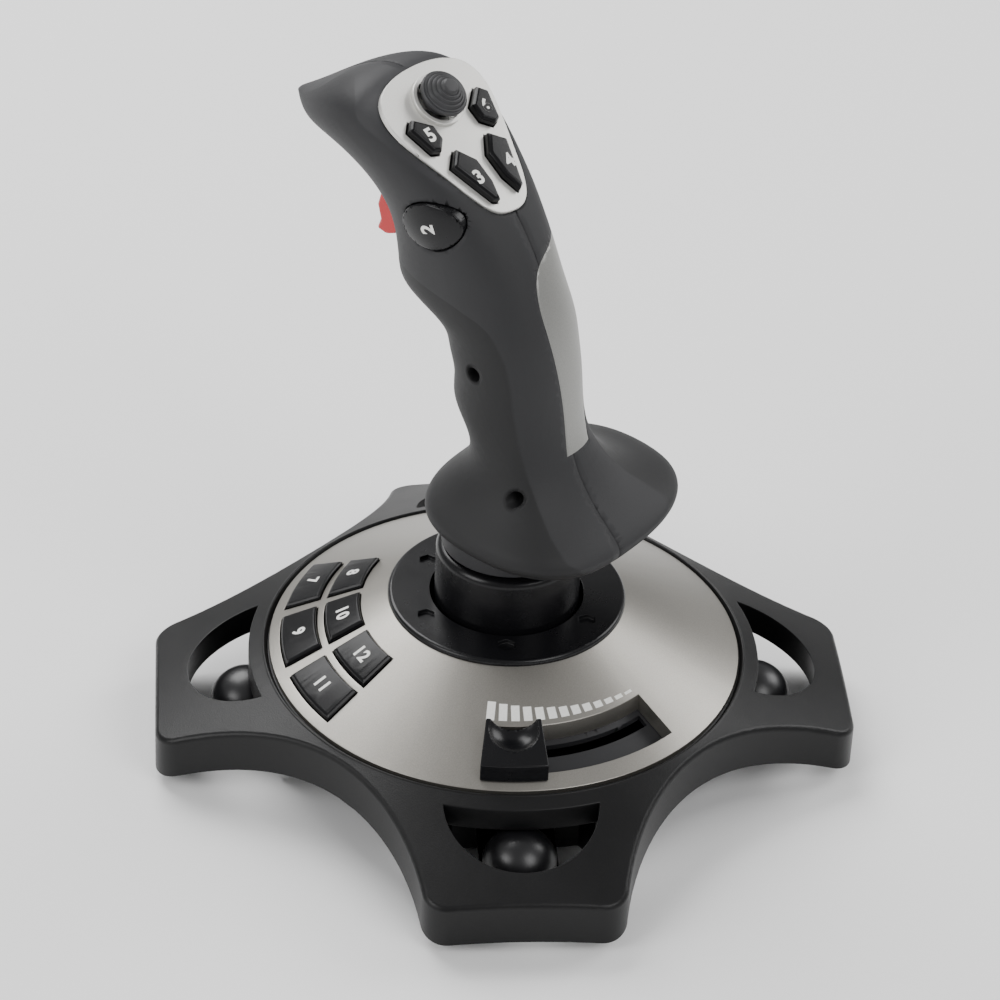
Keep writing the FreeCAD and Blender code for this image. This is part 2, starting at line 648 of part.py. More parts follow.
def section_points(index, inset):
    """Control points round a handle section, drawn inset from the outer surface."""
    back, front, left, right, widest, square_back, square_front = SECTIONS[index]
    lean = 1.0 + 0.25 * max(FLARE_SECTIONS - index, 0)
    inset = inset * lean
    length = math.hypot(front[0] - back[0], front[1] - back[1])
    along = ((front[0] - back[0]) / length, (front[1] - back[1]) / length)
    behind = widest * length - inset
    ahead = (1 - widest) * length - inset
    mid = (back[0] + along[0] * widest * length, back[1] + along[1] * widest * length)
    # a cubic spline runs inside its control points by this share of the radius
    fullness = 6 / (4 + 2 * math.cos(2 * math.pi / SECTION_POINTS))
    lift = inset / lean * max(FLOOR_SECTIONS - index, 0) / FLOOR_SECTIONS
    points = []
    for k in range(SECTION_POINTS):
        t = 2 * math.pi * k / SECTION_POINTS
        c, s = math.cos(t), math.sin(t)
        square = square_front if s > 0 else square_back
        reach = ahead if s > 0 else behind
        half = (right if c > 0 else left) - inset
        u = math.copysign(abs(c) ** (2 / square), c) * half * fullness
        v = math.copysign(abs(s) ** (2 / square), s) * reach * fullness
        points.append(vec(u, mid[0] + along[0] * v, mid[1] + along[1] * v + lift))
    return points


def handle_skin(inset, last=len(SECTIONS) - 1):
    """One smooth solid through the sections, with its two flat ends."""
    rows = [section_points(k, inset) for k in range(last + 1)]
    columns = [list(column) for column in zip(*rows)]
    around = list(range(SECTION_POINTS + 1))
    along = list(range(len(rows) - 2))
    ends = [4] + [1] * (len(along) - 2) + [4]
    surface = Part.BSplineSurface()
    surface.buildFromPolesMultsKnots(columns, [1] * len(around), ends, around, along, True, False, 3, 3)
    side = surface.toShape()
    foot = Part.Face(Part.Wire([surface.vIso(along[0]).toShape()]))
    head = Part.Face(Part.Wire([surface.vIso(along[-1]).toShape()]))
    shell = Part.Shell([side, foot, head])
    shell.sewShape()
    solid = Part.Solid(shell)
    if solid.Volume < 0:
        solid.reverse()
    return solid


tilt = math.radians(PANEL_TILT)
PANEL_UP = vec(0, math.cos(tilt), math.sin(tilt))
PANEL_OUT = vec(0, -math.sin(tilt), math.cos(tilt))
PANEL_AT = vec(0, PANEL_Y, PANEL_Z)


def on_panel(u, v, height=0.0):
    return PANEL_AT + vec(u, 0, 0) + PANEL_UP * v + PANEL_OUT * height


PANEL_SIDE = [(0.0, -8.2), (6.6, -6.4), (10.8, -1.2), (14.8, 8.0), (18.4, 17.5), (21.3, 26.5),
              (22.7, 35.0), (20.3, 42.6), (12.2, 47.6), (0.0, 49.2)]


def panel_prism(inset, low, high):
    """The egg-shaped panel outline, raised from height low to high over the panel plane."""
    centre_v = 24.0
    side = PANEL_SIDE + [(-u, v) for u, v in PANEL_SIDE[-2:0:-1]]
    points = []
    for u, v in side:
        length = math.hypot(u, v - centre_v)
        scale = (length - inset) / length
        points.append(on_panel(u * scale, centre_v + (v - centre_v) * scale, low))
    curve = Part.BSplineCurve()
    curve.interpolate(points, PeriodicFlag=True)
    return Part.Face(Part.Wire([curve.toShape()])).extrude(PANEL_OUT * (high - low))


PAD_HIGH = [(9.2, 22.7), (9.2, 28.0), (15.4, 33.0), (18.6, 30.0), (15.8, 20.4), (12.9, 19.3)]
PAD_LOW = [(2.9, 3.2), (2.9, 11.8), (7.6, 18.0), (12.8, 13.2), (6.9, -2.2), (4.8, -3.3)]
PADS = [("button_3", PAD_LOW, -1), ("button_4", PAD_LOW, 1),
        ("button_5", PAD_HIGH, -1), ("button_6", PAD_HIGH, 1)]


def pad_prism(outline, side, grow, low, high):
    """A head button's outline, grown evenly about its middle."""
    count = len(outline)
    mid_u = sum(u for u, v in outline) / count
    mid_v = sum(v for u, v in outline) / count
    points = []
    for u, v in outline:
        length = math.hypot(u - mid_u, v - mid_v)
        scale = (length + grow) / length
        points.append(on_panel(side * (mid_u + (u - mid_u) * scale), mid_v + (v - mid_v) * scale, low))
    return prism(points, PANEL_OUT * (high - low))


PANEL_FACE = PANEL_PROUD
BOARD_DEPTH = 7.4


def head_panel():
    plate = panel_prism(0.35, PANEL_FACE - PANEL_T, PANEL_FACE)
    cuts = [pad_prism(outline, side, KEY_GAP, -9, 9) for _, outline, side in PADS]
    cuts.append(rod(HAT_RING_R - 0.5, on_panel(0, HAT_V, -9), on_panel(0, HAT_V, 9)))
    return plate.cut(group(cuts))


def head_pad(outline, side):
    cap = pad_prism(outline, side, 0, PANEL_FACE - PANEL_T - 0.6, PANEL_FACE + PAD_PROUD)
    top = PANEL_FACE + PAD_PROUD

    def top_edge(edge, mid):
        return abs((mid - PANEL_AT).dot(PANEL_OUT) - top) < 0.01
    edges = [e for e in cap.Edges
             if top_edge(e, e.valueAt((e.FirstParameter + e.LastParameter) / 2))]
    cap = cap.makeChamfer(0.9, edges)
    flange = pad_prism(outline, side, 0.9, PANEL_FACE - PANEL_T - 2.0, PANEL_FACE - PANEL_T - 0.6)
    return cap.fuse(flange).removeSplitter()


def pad_centre(outline, side):
    count = len(outline)
    return side * sum(u for u, v in outline) / count, sum(v for u, v in outline) / count


def head_board():
    board = panel_prism(5.2, -BOARD_DEPTH - BOARD_T, -BOARD_DEPTH)
    hole = rod(5.2, on_panel(0, HAT_V, -20), on_panel(0, HAT_V, 0))
    return board.cut(hole)


def head_switches():
    solids = []
    for _, outline, side in PADS:
        u, v = pad_centre(outline, side)
        base = rod(2.4, on_panel(u, v, -BOARD_DEPTH), on_panel(u, v, -BOARD_DEPTH + 2.2))
        plunger = rod(1.2, on_panel(u, v, -BOARD_DEPTH + 2.2), on_panel(u, v, -BOARD_DEPTH + 2.4))
        solids.append(base.fuse(plunger))
    return group(solids)


def hat_ring():
    """Turned-up ring round the hat switch's opening in the panel."""
    low = PANEL_FACE
    outer = rod(HAT_RING_R, on_panel(0, HAT_V, low), on_panel(0, HAT_V, low + 1.4))
    foot = rod(HAT_RING_R - 0.6, on_panel(0, HAT_V, low - 3), on_panel(0, HAT_V, low))
    inner = rod(HAT_BOOT_R + 1.2, on_panel(0, HAT_V, low - 4), on_panel(0, HAT_V, low + 3))
    return fuse(outer, foot).cut(inner)


HAT_PIVOT = on_panel(0, HAT_V, -4.0)


def hat_parts():
    """Cap with its stem, the cross piece it rocks on, and the switch housing below."""
    low = PANEL_FACE + 0.6
    skirt = Part.makeCone(HAT_BOOT_R, 5.2, 3.4, on_panel(0, HAT_V, low), PANEL_OUT)
    body = rod(8.1, on_panel(0, HAT_V, low + 3.4), on_panel(0, HAT_V, low + 5.0))
    crown = Part.makeCone(8.1, 3.4, 4.0, on_panel(0, HAT_V, low + 5.0), PANEL_OUT)
    nub = rod(2.6, on_panel(0, HAT_V, low + 8.8), on_panel(0, HAT_V, low + 9.9))
    stem = rod(1.8, on_panel(0, HAT_V, -4.0 + 2.2), on_panel(0, HAT_V, low + 0.2))
    cap = fuse(skirt, body, crown, nub, stem)
    for radius in (4.3, 5.6, 6.9):
        height = low + 9.0 - (radius - 3.4) * 4.0 / 4.7
        ring = Part.makeTorus(radius, 0.34, on_panel(0, HAT_V, height + 0.05), PANEL_OUT)
        cap = cap.cut(ring)
    cross = rod(1.4, HAT_PIVOT + vec(-4.0, 0, 0), HAT_PIVOT + vec(4.0, 0, 0))
    hub = rod(1.9, HAT_PIVOT + vec(-1.6, 0, 0), HAT_PIVOT + vec(1.6, 0, 0))
    shell_top = on_panel(0, HAT_V, -4.0 - 3.0)
    housing = rod(4.6, on_panel(0, HAT_V, -13.0), shell_top)
    for side in (-1, 1):
        ear = rod(0.9, HAT_PIVOT + vec(side * 4.1, 0, 0), HAT_PIVOT + vec(side * 4.8, 0, 0))
        post = ear.fuse(prism([
            on_panel(side * 4.1, HAT_V - 1.2, -8.0), on_panel(side * 4.1, HAT_V + 1.2, -8.0),
            on_panel(side * 4.6, HAT_V + 1.2, -8.0), on_panel(side * 4.6, HAT_V - 1.2, -8.0)],
            PANEL_OUT * 4.0))
        housing = housing.fuse(post)
    return cap, hub.fuse(cross), housing.removeSplitter()


B2_AT = vec(-20.9, 21.0, 201.9)
B2_OUT = vec(-0.985, -0.165, -0.05)
B2_OUT.normalize()
B2_ALONG = vec(0, 0.95, -0.30).cross(B2_OUT).cross(B2_OUT) * -1
B2_ALONG.normalize()
B2_ACROSS = B2_OUT.cross(B2_ALONG)
B2_LONG = 11.6
B2_SHORT = 8.4


def side_oval(grow, low, high):
    points = []
    for k in range(16):
        t = 2 * math.pi * k / 16
        wide = B2_SHORT + grow - 0.9 * max(-math.cos(t), 0)
        at = B2_AT + B2_ALONG * ((B2_LONG + grow) * math.cos(t)) + B2_ACROSS * (wide * math.sin(t))
        points.append(at + B2_OUT * low)
    curve = Part.BSplineCurve()
    curve.interpolate(points, PeriodicFlag=True)
    return Part.Face(Part.Wire([curve.toShape()])).extrude(B2_OUT * (high - low))


def side_button():
    block = side_oval(0, -4.0, 6.0)
    dome_r = 26.0
    dome = Part.makeSphere(dome_r, B2_AT + B2_OUT * (2.4 - dome_r))
    cap = block.common(dome)
    stem = rod(2.2, B2_AT - B2_OUT * 7.0, B2_AT - B2_OUT * 3.9)
    return cap.fuse(stem).removeSplitter()


TRIGGER_PIN = vec(0, TRIGGER_PIN_Y, TRIGGER_PIN_Z)
TRIGGER_W = 5.6


def trigger_profile(grow):
    """Eye and blade of the trigger, grown by a clearance."""
    y, z = TRIGGER_PIN_Y, TRIGGER_PIN_Z
    eye = rod(3.4 + grow, vec(-TRIGGER_W - grow, y, z), vec(TRIGGER_W + grow, y, z))
    blade = [(y + 1.5 + grow, z + 3.0), (y + 8.5 + grow, z - 0.5), (y + 9.9 + grow, z - 5.5),
             (y + 8.4 + grow, z - 10.6), (y + 9.9 + grow, z - 14.7 - grow),
             (y + 6.0, z - 15.4 - grow), (y + 1.5 - grow, z - 13.4 - grow), (y - 3.4 - grow, z)]
    points = [vec(-TRIGGER_W - grow, py, pz) for py, pz in blade]
    return eye.fuse(prism(points, vec(2 * (TRIGGER_W + grow), 0, 0)))


def trigger():
    body = trigger_profile(0)

    def blade_edge(edge, mid):
        on_side = abs(abs(mid.x) - TRIGGER_W) < 0.01 and edge.BoundBox.XLength < 0.01
        return on_side and mid.y > TRIGGER_PIN_Y + 7.0 and mid.z < TRIGGER_PIN_Z - 1
    body = rounded(body, 1.2, blade_edge)
    return body.cut(rod(TRIGGER_PIN_R + RUN, TRIGGER_PIN - vec(20, 0, 0), TRIGGER_PIN + vec(20, 0, 0)))


def trigger_sweep():
    """The room the trigger needs inside the handle, from rest to fully pulled."""
    sweep = trigger_profile(PART_GAP + 0.4)
    steps = 3
    poses = [turned(sweep, -TRIGGER_ANGLE * (k + 1) / steps, TRIGGER_PIN, vec(1, 0, 0))
             for k in range(steps)]
    return sweep.multiFuse(poses)


SCREW_SPOTS = [(2.0, 154.0), (-18.0, 115.0)]


def strip_prism():
    """Blade-shaped outline of the rear strip, seen from behind and extruded forwards."""
    outline = [(-2.8, 126.5), (-2.6, 150.0), (-4.6, 170.0), (-4.8, 180.0), (-1.5, 188.5), (7.0, 192.5),
               (17.0, 194.0), (17.5, 180.0), (15.5, 160.0), (12.5, 142.0), (10.0, 126.5)]
    points = [vec(x, -60, z) for x, z in outline]
    left = Part.BSplineCurve()
    left.interpolate(points[:7])
    right = Part.BSplineCurve()
    right.interpolate(points[6:])
    foot = Part.makeLine(points[-1], points[0])
    face = Part.Face(Part.Wire([left.toShape(), right.toShape(), foot]))
    return face.extrude(vec(0, 62, 0))


def handle_parts():
    outer = handle_skin(0)
    seat = handle_skin(STRIP_T)
    neck_hole = cyl(NECK_R + PART_GAP, REST_BOTTOM_Z - 2, REST_BOTTOM_Z + 8)
    cavity = handle_skin(SHELL, GRIP_TOP_SECTION).fuse(neck_hole)
    flat = box(-60, 60, 0, 200, 0, 60)
    flat.rotate(vec(0, 0, 0), vec(1, 0, 0), PANEL_TILT)
    flat.translate(on_panel(0, -60, 0.0))
    outer = outer.cut(flat)
    strip = outer.common(strip_prism()).cut(seat)
    shell = outer.cut(cavity)
    roof = panel_prism(-1.2, -PANEL_T - 2.0, 0.5).common(outer)
    shell = shell.fuse(roof)
    lining = side_oval(2.2, -5.0, 3.0).common(outer)
    shell = shell.fuse(lining)
    guard = trigger_sweep()
    cheeks = box(-TRIGGER_W - 2.6, TRIGGER_W + 2.6, TRIGGER_PIN_Y - 4, TRIGGER_PIN_Y + 4,
                 TRIGGER_PIN_Z - 4, TRIGGER_PIN_Z + 9).common(outer)
    shell = shell.fuse(cheeks)
    cuts = [strip, panel_prism(0.0, -PANEL_T + PANEL_PROUD, 9.0),
            panel_prism(1.8, -12.0, 0.0), guard, side_oval(KEY_GAP, -9.0, 9.0),
            rod(TRIGGER_PIN_R, TRIGGER_PIN - vec(9, 0, 0), TRIGGER_PIN + vec(9, 0, 0))]
    bosses = []
    for y, z in SCREW_SPOTS:
        bosses.append(rod(4.0, vec(-40, y, z), vec(40, y, z)).common(outer))
        cuts.append(rod(1.5, vec(-40, y, z), vec(12, y, z)))
        cuts.append(rod(2.6, vec(-40, y, z), vec(-8, y, z)))
    shell = shell.multiFuse(bosses)
    for tool in cuts:
        shell = shell.cut(tool)
    left = shell.common(box(-80, -SEAM, -80, 140, 0, 280))
    right = shell.common(box(SEAM, 80, -80, 140, 0, 280))
    return left, right, strip


def handle_screws():
    screws = []
    for y, z in SCREW_SPOTS:
        head = rod(2.4, vec(-8, y, z), vec(-9.8, y, z))
        shank = rod(1.4, vec(-8, y, z), vec(10, y, z))
        slot = box(-10.5, -9.1, y - 1.7, y + 1.7, z - 0.35, z + 0.35)
        cross = box(-10.5, -9.1, y - 0.35, y + 0.35, z - 1.7, z + 1.7)
        screws.append(head.fuse(shank).cut(group([slot, cross])))
    return group(screws)


def twist_collar():
    """Dark drum under the hand rest, with a neck that goes up through its floor."""
    drum = tube(TWIST_COLLAR_R, BUSH_R, SLEEVE_TOP_Z + 0.8, REST_BOTTOM_Z)
    neck = tube(NECK_R, BUSH_R, REST_BOTTOM_Z, REST_BOTTOM_Z + SHELL + 1.2)
    return fuse(drum, neck)


def twist_bushing():
    return tube(BUSH_R, TUBE_R + RUN, SLEEVE_TOP_Z + 0.8, BUSH_TOP_Z)


def largest(shape):
    """The biggest solid of a cut result, so that stray crumbs are not kept."""
    return max(shape.Solids, key=lambda solid: solid.Volume)


# ---------------------------------------------------------------- build every node
def build_base():
    parts["base_housing"] = largest(base_housing())
    parts["top_plate"] = top_plate()
    parts["collar_ring"] = collar_ring()
    parts["throttle_tray"] = throttle_tray()
    parts["throttle_sensor"] = throttle_sensor()
    parts["bottom_cover"] = bottom_cover()
    for number, angle in enumerate(ARM_ANGLES, 1):
        parts["suction_cup_%d" % number] = turned(suction_cup(), angle)
    parts["key_board"] = key_board()
    parts["key_switches"] = key_switches()
    parts["gimbal_cradle"] = gimbal_cradle()
    ring_top = PIVOT_Z + UPRIGHT_T + 2.0
    plate_r = UPRIGHT_X + UPRIGHT_T + 3.5
    parts["pressure_plate"] = tube(plate_r, TUBE_R + 2.8, ring_top, ring_top + PRESSURE_PLATE_T)
    parts["tilt_sensor_board"] = tube(12.0, 2.0, PEDESTAL_TOP_Z, PEDESTAL_TOP_Z + 1.2).cut(
        group([box(-20, -UPRIGHT_X + 0.2, -9, 9, 0, 60), box(UPRIGHT_X - 0.2, 20, -9, 9, 0, 60)]))
    board_z = COVER_Z + COVER_T + 4
    parts["main_board"] = box(-24, 24, 28, 56, board_z, board_z + BOARD_T)
    parts["cable_inlet"] = inlet_rod(INLET_R).cut(inlet_rod(INLET_BORE_R, 1))
    heads = [screw(2.9, 2.0, 1.3, 16, polar(BOSS_R, angle, COVER_Z + 0.6)) for angle in BOSS_ANGLES]
    parts["base_screws"] = group(heads)
    cradle_heads = [screw(2.7, 1.1, 1.3, 5, at + vec(0, 0, COVER_Z + 0.1)) for at in cradle_spots()]
    parts["cradle_screws"] = group(cradle_heads)
    knob, carrier = throttle()
    parts["throttle_knob"] = knob
    parts["throttle_carrier"] = carrier
    for name, row, k in KEYS:
        parts[name] = base_key(row, k)


def build_stick():
    parts["gimbal_ring"] = gimbal_ring()
    parts["pitch_pins"] = pitch_pins()
    parts["roll_pin"] = roll_pin()
    parts["stick_shaft"] = stick_shaft()
    parts["stick_sleeve"] = stick_sleeve()
    magnet_z = PIVOT_Z - MAGNET_DROP
    parts["tilt_magnet"] = cyl(3.0, magnet_z, magnet_z + 4)
    screws = []
    for at in sleeve_screw_spots():
        pointing_down = screw(2.2, 0.9, 1.2, 4.2, vec(0, 0, 0))
        pointing_down.rotate(vec(0, 0, 0), vec(1, 0, 0), 180)
        screws.append(moved(pointing_down, at.x, at.y, SLEEVE_HEAD_Z + 0.9))
    parts["sleeve_screws"] = group(screws)
    spring_foot = PIVOT_Z + UPRIGHT_T + 2.0 + PRESSURE_PLATE_T
    spring_head = FLANGE_TOP_Z - 2.6
    low = spring_foot + SPRING_WIRE_R + 0.1
    high = spring_head - SPRING_WIRE_R - 0.1
    parts["centring_spring"] = helix_spring(SPRING_R, SPRING_WIRE_R, SPRING_PITCH, low, high)
    parts["retaining_ring"] = tube(12.0, TUBE_R, BUSH_TOP_Z + 0.4, BUSH_TOP_Z + 2.4)


def build_handle():
    left, right, strip = handle_parts()
    parts["handle_left_shell"] = largest(left)
    parts["handle_right_shell"] = largest(right)
    parts["rear_strip"] = largest(strip)
    parts["head_panel"] = head_panel()
    parts["hat_ring"] = hat_ring()
    cap, cross, housing = hat_parts()
    parts["hat_cap"] = cap
    parts["hat_cross"] = cross
    parts["hat_switch"] = housing
    parts["head_board"] = head_board()
    parts["head_switches"] = head_switches()
    for name, outline, side in PADS:
        parts[name] = head_pad(outline, side)
    parts["button_2"] = side_button()
    parts["trigger"] = trigger()
    parts["trigger_pin"] = rod(TRIGGER_PIN_R, TRIGGER_PIN - vec(TRIGGER_W + 2.4, 0, 0),
                               TRIGGER_PIN + vec(TRIGGER_W + 2.4, 0, 0))
    parts["handle_screws"] = handle_screws()
    parts["twist_collar"] = twist_collar()
    parts["twist_bushing"] = twist_bushing()
    parts["twist_spring"] = helix_spring(BUSH_R + 2.0, 0.7, 1.9, REST_BOTTOM_Z + SHELL + 3.4, BUSH_TOP_Z - 1)


def main():
    build_base()
    build_stick()
    build_handle()
    for name, shape in parts.items():
        shape.exportStep("parts/%s.step" % name)
        solids = len(shape.Solids)
        print("%-20s solids %d valid %s volume %.1f" % (name, solids, shape.isValid(), shape.Volume))


main()
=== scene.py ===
import json
import math

import bpy
from mathutils import Matrix, Vector

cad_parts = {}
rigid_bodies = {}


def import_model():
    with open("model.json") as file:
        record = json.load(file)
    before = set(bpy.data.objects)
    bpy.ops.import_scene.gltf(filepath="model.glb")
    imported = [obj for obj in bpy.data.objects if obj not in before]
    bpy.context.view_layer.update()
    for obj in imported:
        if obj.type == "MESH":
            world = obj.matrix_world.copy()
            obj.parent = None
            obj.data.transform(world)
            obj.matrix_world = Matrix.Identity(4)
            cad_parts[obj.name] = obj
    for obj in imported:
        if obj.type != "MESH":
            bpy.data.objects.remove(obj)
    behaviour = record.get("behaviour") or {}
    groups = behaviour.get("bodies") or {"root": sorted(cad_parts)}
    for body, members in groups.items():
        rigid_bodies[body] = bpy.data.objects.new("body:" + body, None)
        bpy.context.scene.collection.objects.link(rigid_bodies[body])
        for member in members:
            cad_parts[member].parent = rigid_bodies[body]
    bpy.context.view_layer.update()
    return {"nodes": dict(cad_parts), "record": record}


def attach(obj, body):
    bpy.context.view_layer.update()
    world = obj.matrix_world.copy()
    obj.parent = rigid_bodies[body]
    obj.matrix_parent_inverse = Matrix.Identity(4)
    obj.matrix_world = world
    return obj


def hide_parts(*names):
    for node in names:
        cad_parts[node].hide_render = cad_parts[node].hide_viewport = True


bl_info = {
    "name": "Flight joystick",
    "version": (1, 0, 0),
    "blender": (4, 5, 0),
    "location": "View3D > Sidebar > Joystick",
    "description": "Builds the finished look of a desktop flight joystick over its CAD frame",
    "category": "Object",
}

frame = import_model()

MM = 0.001

# ---------------------------------------------------------------- places on the object
PLATE_EDGE_R = 80.0
PLATE_EDGE_Z = 36.6
PLATE_SLOPE = 0.509
PLATE_TILT = math.atan(PLATE_SLOPE)
KEY_PROUD = 1.8
KEY_ANGLE = 136.5
KEY_PITCH = 24.5
KEY_ROWS = ((64.2, 76.0), (49.6, 61.2))
KEYS = ((7, 0, -1), (8, 1, -1), (9, 0, 0), (10, 1, 0), (11, 0, 1), (12, 1, 1))
PANEL_TILT = math.radians(35.7)
PANEL_AT = Vector((0, 10.6, 210.9)) * MM
PANEL_UP = Vector((0, math.cos(PANEL_TILT), math.sin(PANEL_TILT)))
PANEL_OUT = Vector((0, -math.sin(PANEL_TILT), math.cos(PANEL_TILT)))
ACROSS = Vector((1, 0, 0))
HAT_V = 35.0
PAD_PROUD = 3.25
PAD_DIGITS = ((3, -7.4, 6.2), (4, 7.4, 6.2), (5, -13.4, 25.4), (6, 13.4, 25.4))
SIDE_AT = Vector((-20.9, 21.0, 201.9)) * MM
SIDE_OUT = Vector((-0.985, -0.165, -0.05)).normalized()
SIDE_PROUD = 2.4
BAR_COUNT = 13
BAR_FIRST = -145.5
BAR_LAST = -92.3
BAR_OUTER_R = 57.7
BAR_LONG = 6.0
BAR_SHORT = 0.9
BAR_SPAN = 3.0             # degrees that a bar covers
INK = 0.05                 # thickness of the printed marks


# ---------------------------------------------------------------- what a user would change
class JoystickSizes(bpy.types.PropertyGroup):
    edge: bpy.props.FloatProperty(
        name="Edge rounding", description="Radius of the moulded edges",
        default=0.35 * MM, min=0.0, unit="LENGTH")
    key_digit: bpy.props.FloatProperty(
        name="Key digits", description="Height of the digits on the base keys",
        default=4.4 * MM, min=0.0, unit="LENGTH")
    head_digit: bpy.props.FloatProperty(
        name="Head digits", description="Height of the digits on the head buttons",
        default=4.6 * MM, min=0.0, unit="LENGTH")
    hat_ridge: bpy.props.FloatProperty(
        name="Hat ridges", description="Height of the ridges round the hat cap",
        default=0.45 * MM, min=0.0, unit="LENGTH")
    grain: bpy.props.FloatProperty(
        name="Moulded grain", description="Size of the fine grain on the satin plastic",
        default=0.55 * MM, min=0.0001, unit="LENGTH")


def colour_property(name, description, hex_colour):
    return bpy.props.FloatVectorProperty(
        name=name, description=description, default=linear(hex_colour)[:3],
        min=0.0, max=1.0, size=3, subtype="COLOR")


def linear(hex_colour):
    """An sRGB hex colour as linear red, green, blue and alpha."""
    channels = []
    for start in (1, 3, 5):
        value = int(hex_colour[start:start + 2], 16) / 255
        channels.append(value / 12.92 if value <= 0.04045 else ((value + 0.055) / 1.055) ** 2.4)
    return (*channels, 1.0)


class JoystickColours(bpy.types.PropertyGroup):
    base: colour_property("Base", "Satin plastic of the base and its arms", "#0d0d0e")
    grip: colour_property("Grip", "Soft coating of the grip", "#222224")
    plate: colour_property("Plate", "Silver paint of the top plate", "#9b9892")
    panel: colour_property("Head panel", "Bright silver of the head panel", "#d9d8d4")
    strip: colour_property("Strip", "Satin silver of the rear strip", "#8e8e8b")
    trigger: colour_property("Trigger", "Gloss red of the trigger", "#c30d14")
    ink: colour_property("Ink", "White print of digits and bars", "#f2f2ee")


def sizes():
    return bpy.context.scene.joystick_sizes


def chosen(name):
    return (*getattr(bpy.context.scene.joystick_colours, name), 1.0)


# ---------------------------------------------------------------- materials
def add_node(material, kind, inputs=None, **settings):
    """Adds a shader node, with its settings, and gives its sockets values or links."""
    tree = material.node_tree
    node = tree.nodes.new(kind)
    for name, value in settings.items():
        setattr(node, name, value)
    for name, value in (inputs or {}).items():
        socket = node.inputs[name]
        if isinstance(value, bpy.types.NodeSocket):
            tree.links.new(value, socket)
        else:
            socket.default_value = value
    return node


def new_material(name, colour, roughness, metallic=0.0, **shader_values):
    """A material with one principled shader. Returns it with the shader and object coordinates."""
    material = bpy.data.materials.new(name)
    material.use_nodes = True
    material.node_tree.nodes.clear()
    place = add_node(material, "ShaderNodeTexCoord").outputs["Object"]
    inputs = {"Base Color": colour, "Roughness": roughness, "Metallic": metallic}
    inputs.update(shader_values)
    shader = add_node(material, "ShaderNodeBsdfPrincipled", inputs)
    add_node(material, "ShaderNodeOutputMaterial", {"Surface": shader.outputs["BSDF"]})
    return material, shader, place


def link(material, source, shader, name):
    material.node_tree.links.new(source, shader.inputs[name])


def noise(material, place, size_mm, detail=2.0, rough=0.5):
    """Noise whose features are about the given size across."""
    inputs = {"Vector": place, "Scale": 1 / (size_mm * MM), "Detail": detail, "Roughness": rough}
    return add_node(material, "ShaderNodeTexNoise", inputs)


def bumped(material, shader, height, depth_mm, base_normal=None):
    """Adds relief of the given depth to a shader."""
    inputs = {"Height": height, "Distance": depth_mm * MM, "Strength": 1.0}
    if base_normal is not None:
        inputs["Normal"] = base_normal
    bump = add_node(material, "ShaderNodeBump", inputs)
    link(material, bump.outputs["Normal"], shader, "Normal")
    return bump.outputs["Normal"]


def varied_colour(material, shader, factor, dark, light, low=0.35, high=0.65):
    ramp = add_node(material, "ShaderNodeValToRGB", {"Fac": factor})
    ramp.color_ramp.elements[0].position = low
    ramp.color_ramp.elements[0].color = dark
    ramp.color_ramp.elements[1].position = high
    ramp.color_ramp.elements[1].color = light
    link(material, ramp.outputs["Color"], shader, "Base Color")
    return ramp.outputs["Color"]


def varied_roughness(material, shader, factor, low, high):
    spread = add_node(material, "ShaderNodeMapRange", {"Value": factor, "To Min": low, "To Max": high})
    link(material, spread.outputs["Result"], shader, "Roughness")


def shade(colour, factor):
    return (colour[0] * factor, colour[1] * factor, colour[2] * factor, 1.0)


FAINT = {"IOR": 1.5, "Specular IOR Level": 0.28}       # dark plastic under a matte or worn skin


def satin_abs():
    """Moulded ABS with a spark-eroded grain: near-black, with broad soft highlights."""
    colour = chosen("base")
    material, shader, place = new_material("ABS, satin moulded", colour, 0.4, **FAINT)
    grain = noise(material, place, sizes().grain / MM, 3.0, 0.6)
    cloud = noise(material, place, 22.0)
    varied_colour(material, shader, cloud.outputs["Fac"], shade(colour, 0.88), shade(colour, 1.12))
    varied_roughness(material, shader, cloud.outputs["Fac"], 0.33, 0.44)
    bumped(material, shader, grain.outputs["Fac"], 0.05)
    return material


def gloss_abs():
    """Polished ABS: black, with soft-edged reflections and faint handling marks."""
    colour = linear("#101012")
    material, shader, place = new_material("ABS, polished", colour, 0.24, **FAINT)
    smears = noise(material, place, 9.0, 4.0, 0.6)
    varied_roughness(material, shader, smears.outputs["Fac"], 0.20, 0.32)
    ripple = noise(material, place, 14.0)
    bumped(material, shader, ripple.outputs["Fac"], 0.02)
    return material


def key_abs():
    """Polished ABS of the keys: black with a slightly softer gloss than the collar."""
    colour = linear("#0c0c0e")
    material, shader, place = new_material("ABS, key gloss", colour, 0.15, **FAINT)
    smears = noise(material, place, 5.0, 3.0, 0.6)
    varied_roughness(material, shader, smears.outputs["Fac"], 0.20, 0.30)
    fine = noise(material, place, 0.8)
    bumped(material, shader, fine.outputs["Fac"], 0.006)
    return material


def curve_of(material, value, low, high, points, out_low, out_high):
    """A smooth curve through (value, result) points, as a shader output."""
    scaled = add_node(material, "ShaderNodeMapRange",
                      {"Value": value, "From Min": low, "From Max": high})
    curve = add_node(material, "ShaderNodeFloatCurve", {"Value": scaled.outputs["Result"]})
    line = curve.mapping.curves[0]
    marks = [((x - low) / (high - low), (y - out_low) / (out_high - out_low)) for x, y in points]
    line.points[0].location = marks[0]
    line.points[1].location = marks[-1]
    for mark in marks[1:-1]:
        line.points.new(*mark)
    curve.mapping.update()
    spread = {"Value": curve.outputs["Value"], "To Min": out_low, "To Max": out_high}
    return add_node(material, "ShaderNodeMapRange", spread).outputs["Result"]


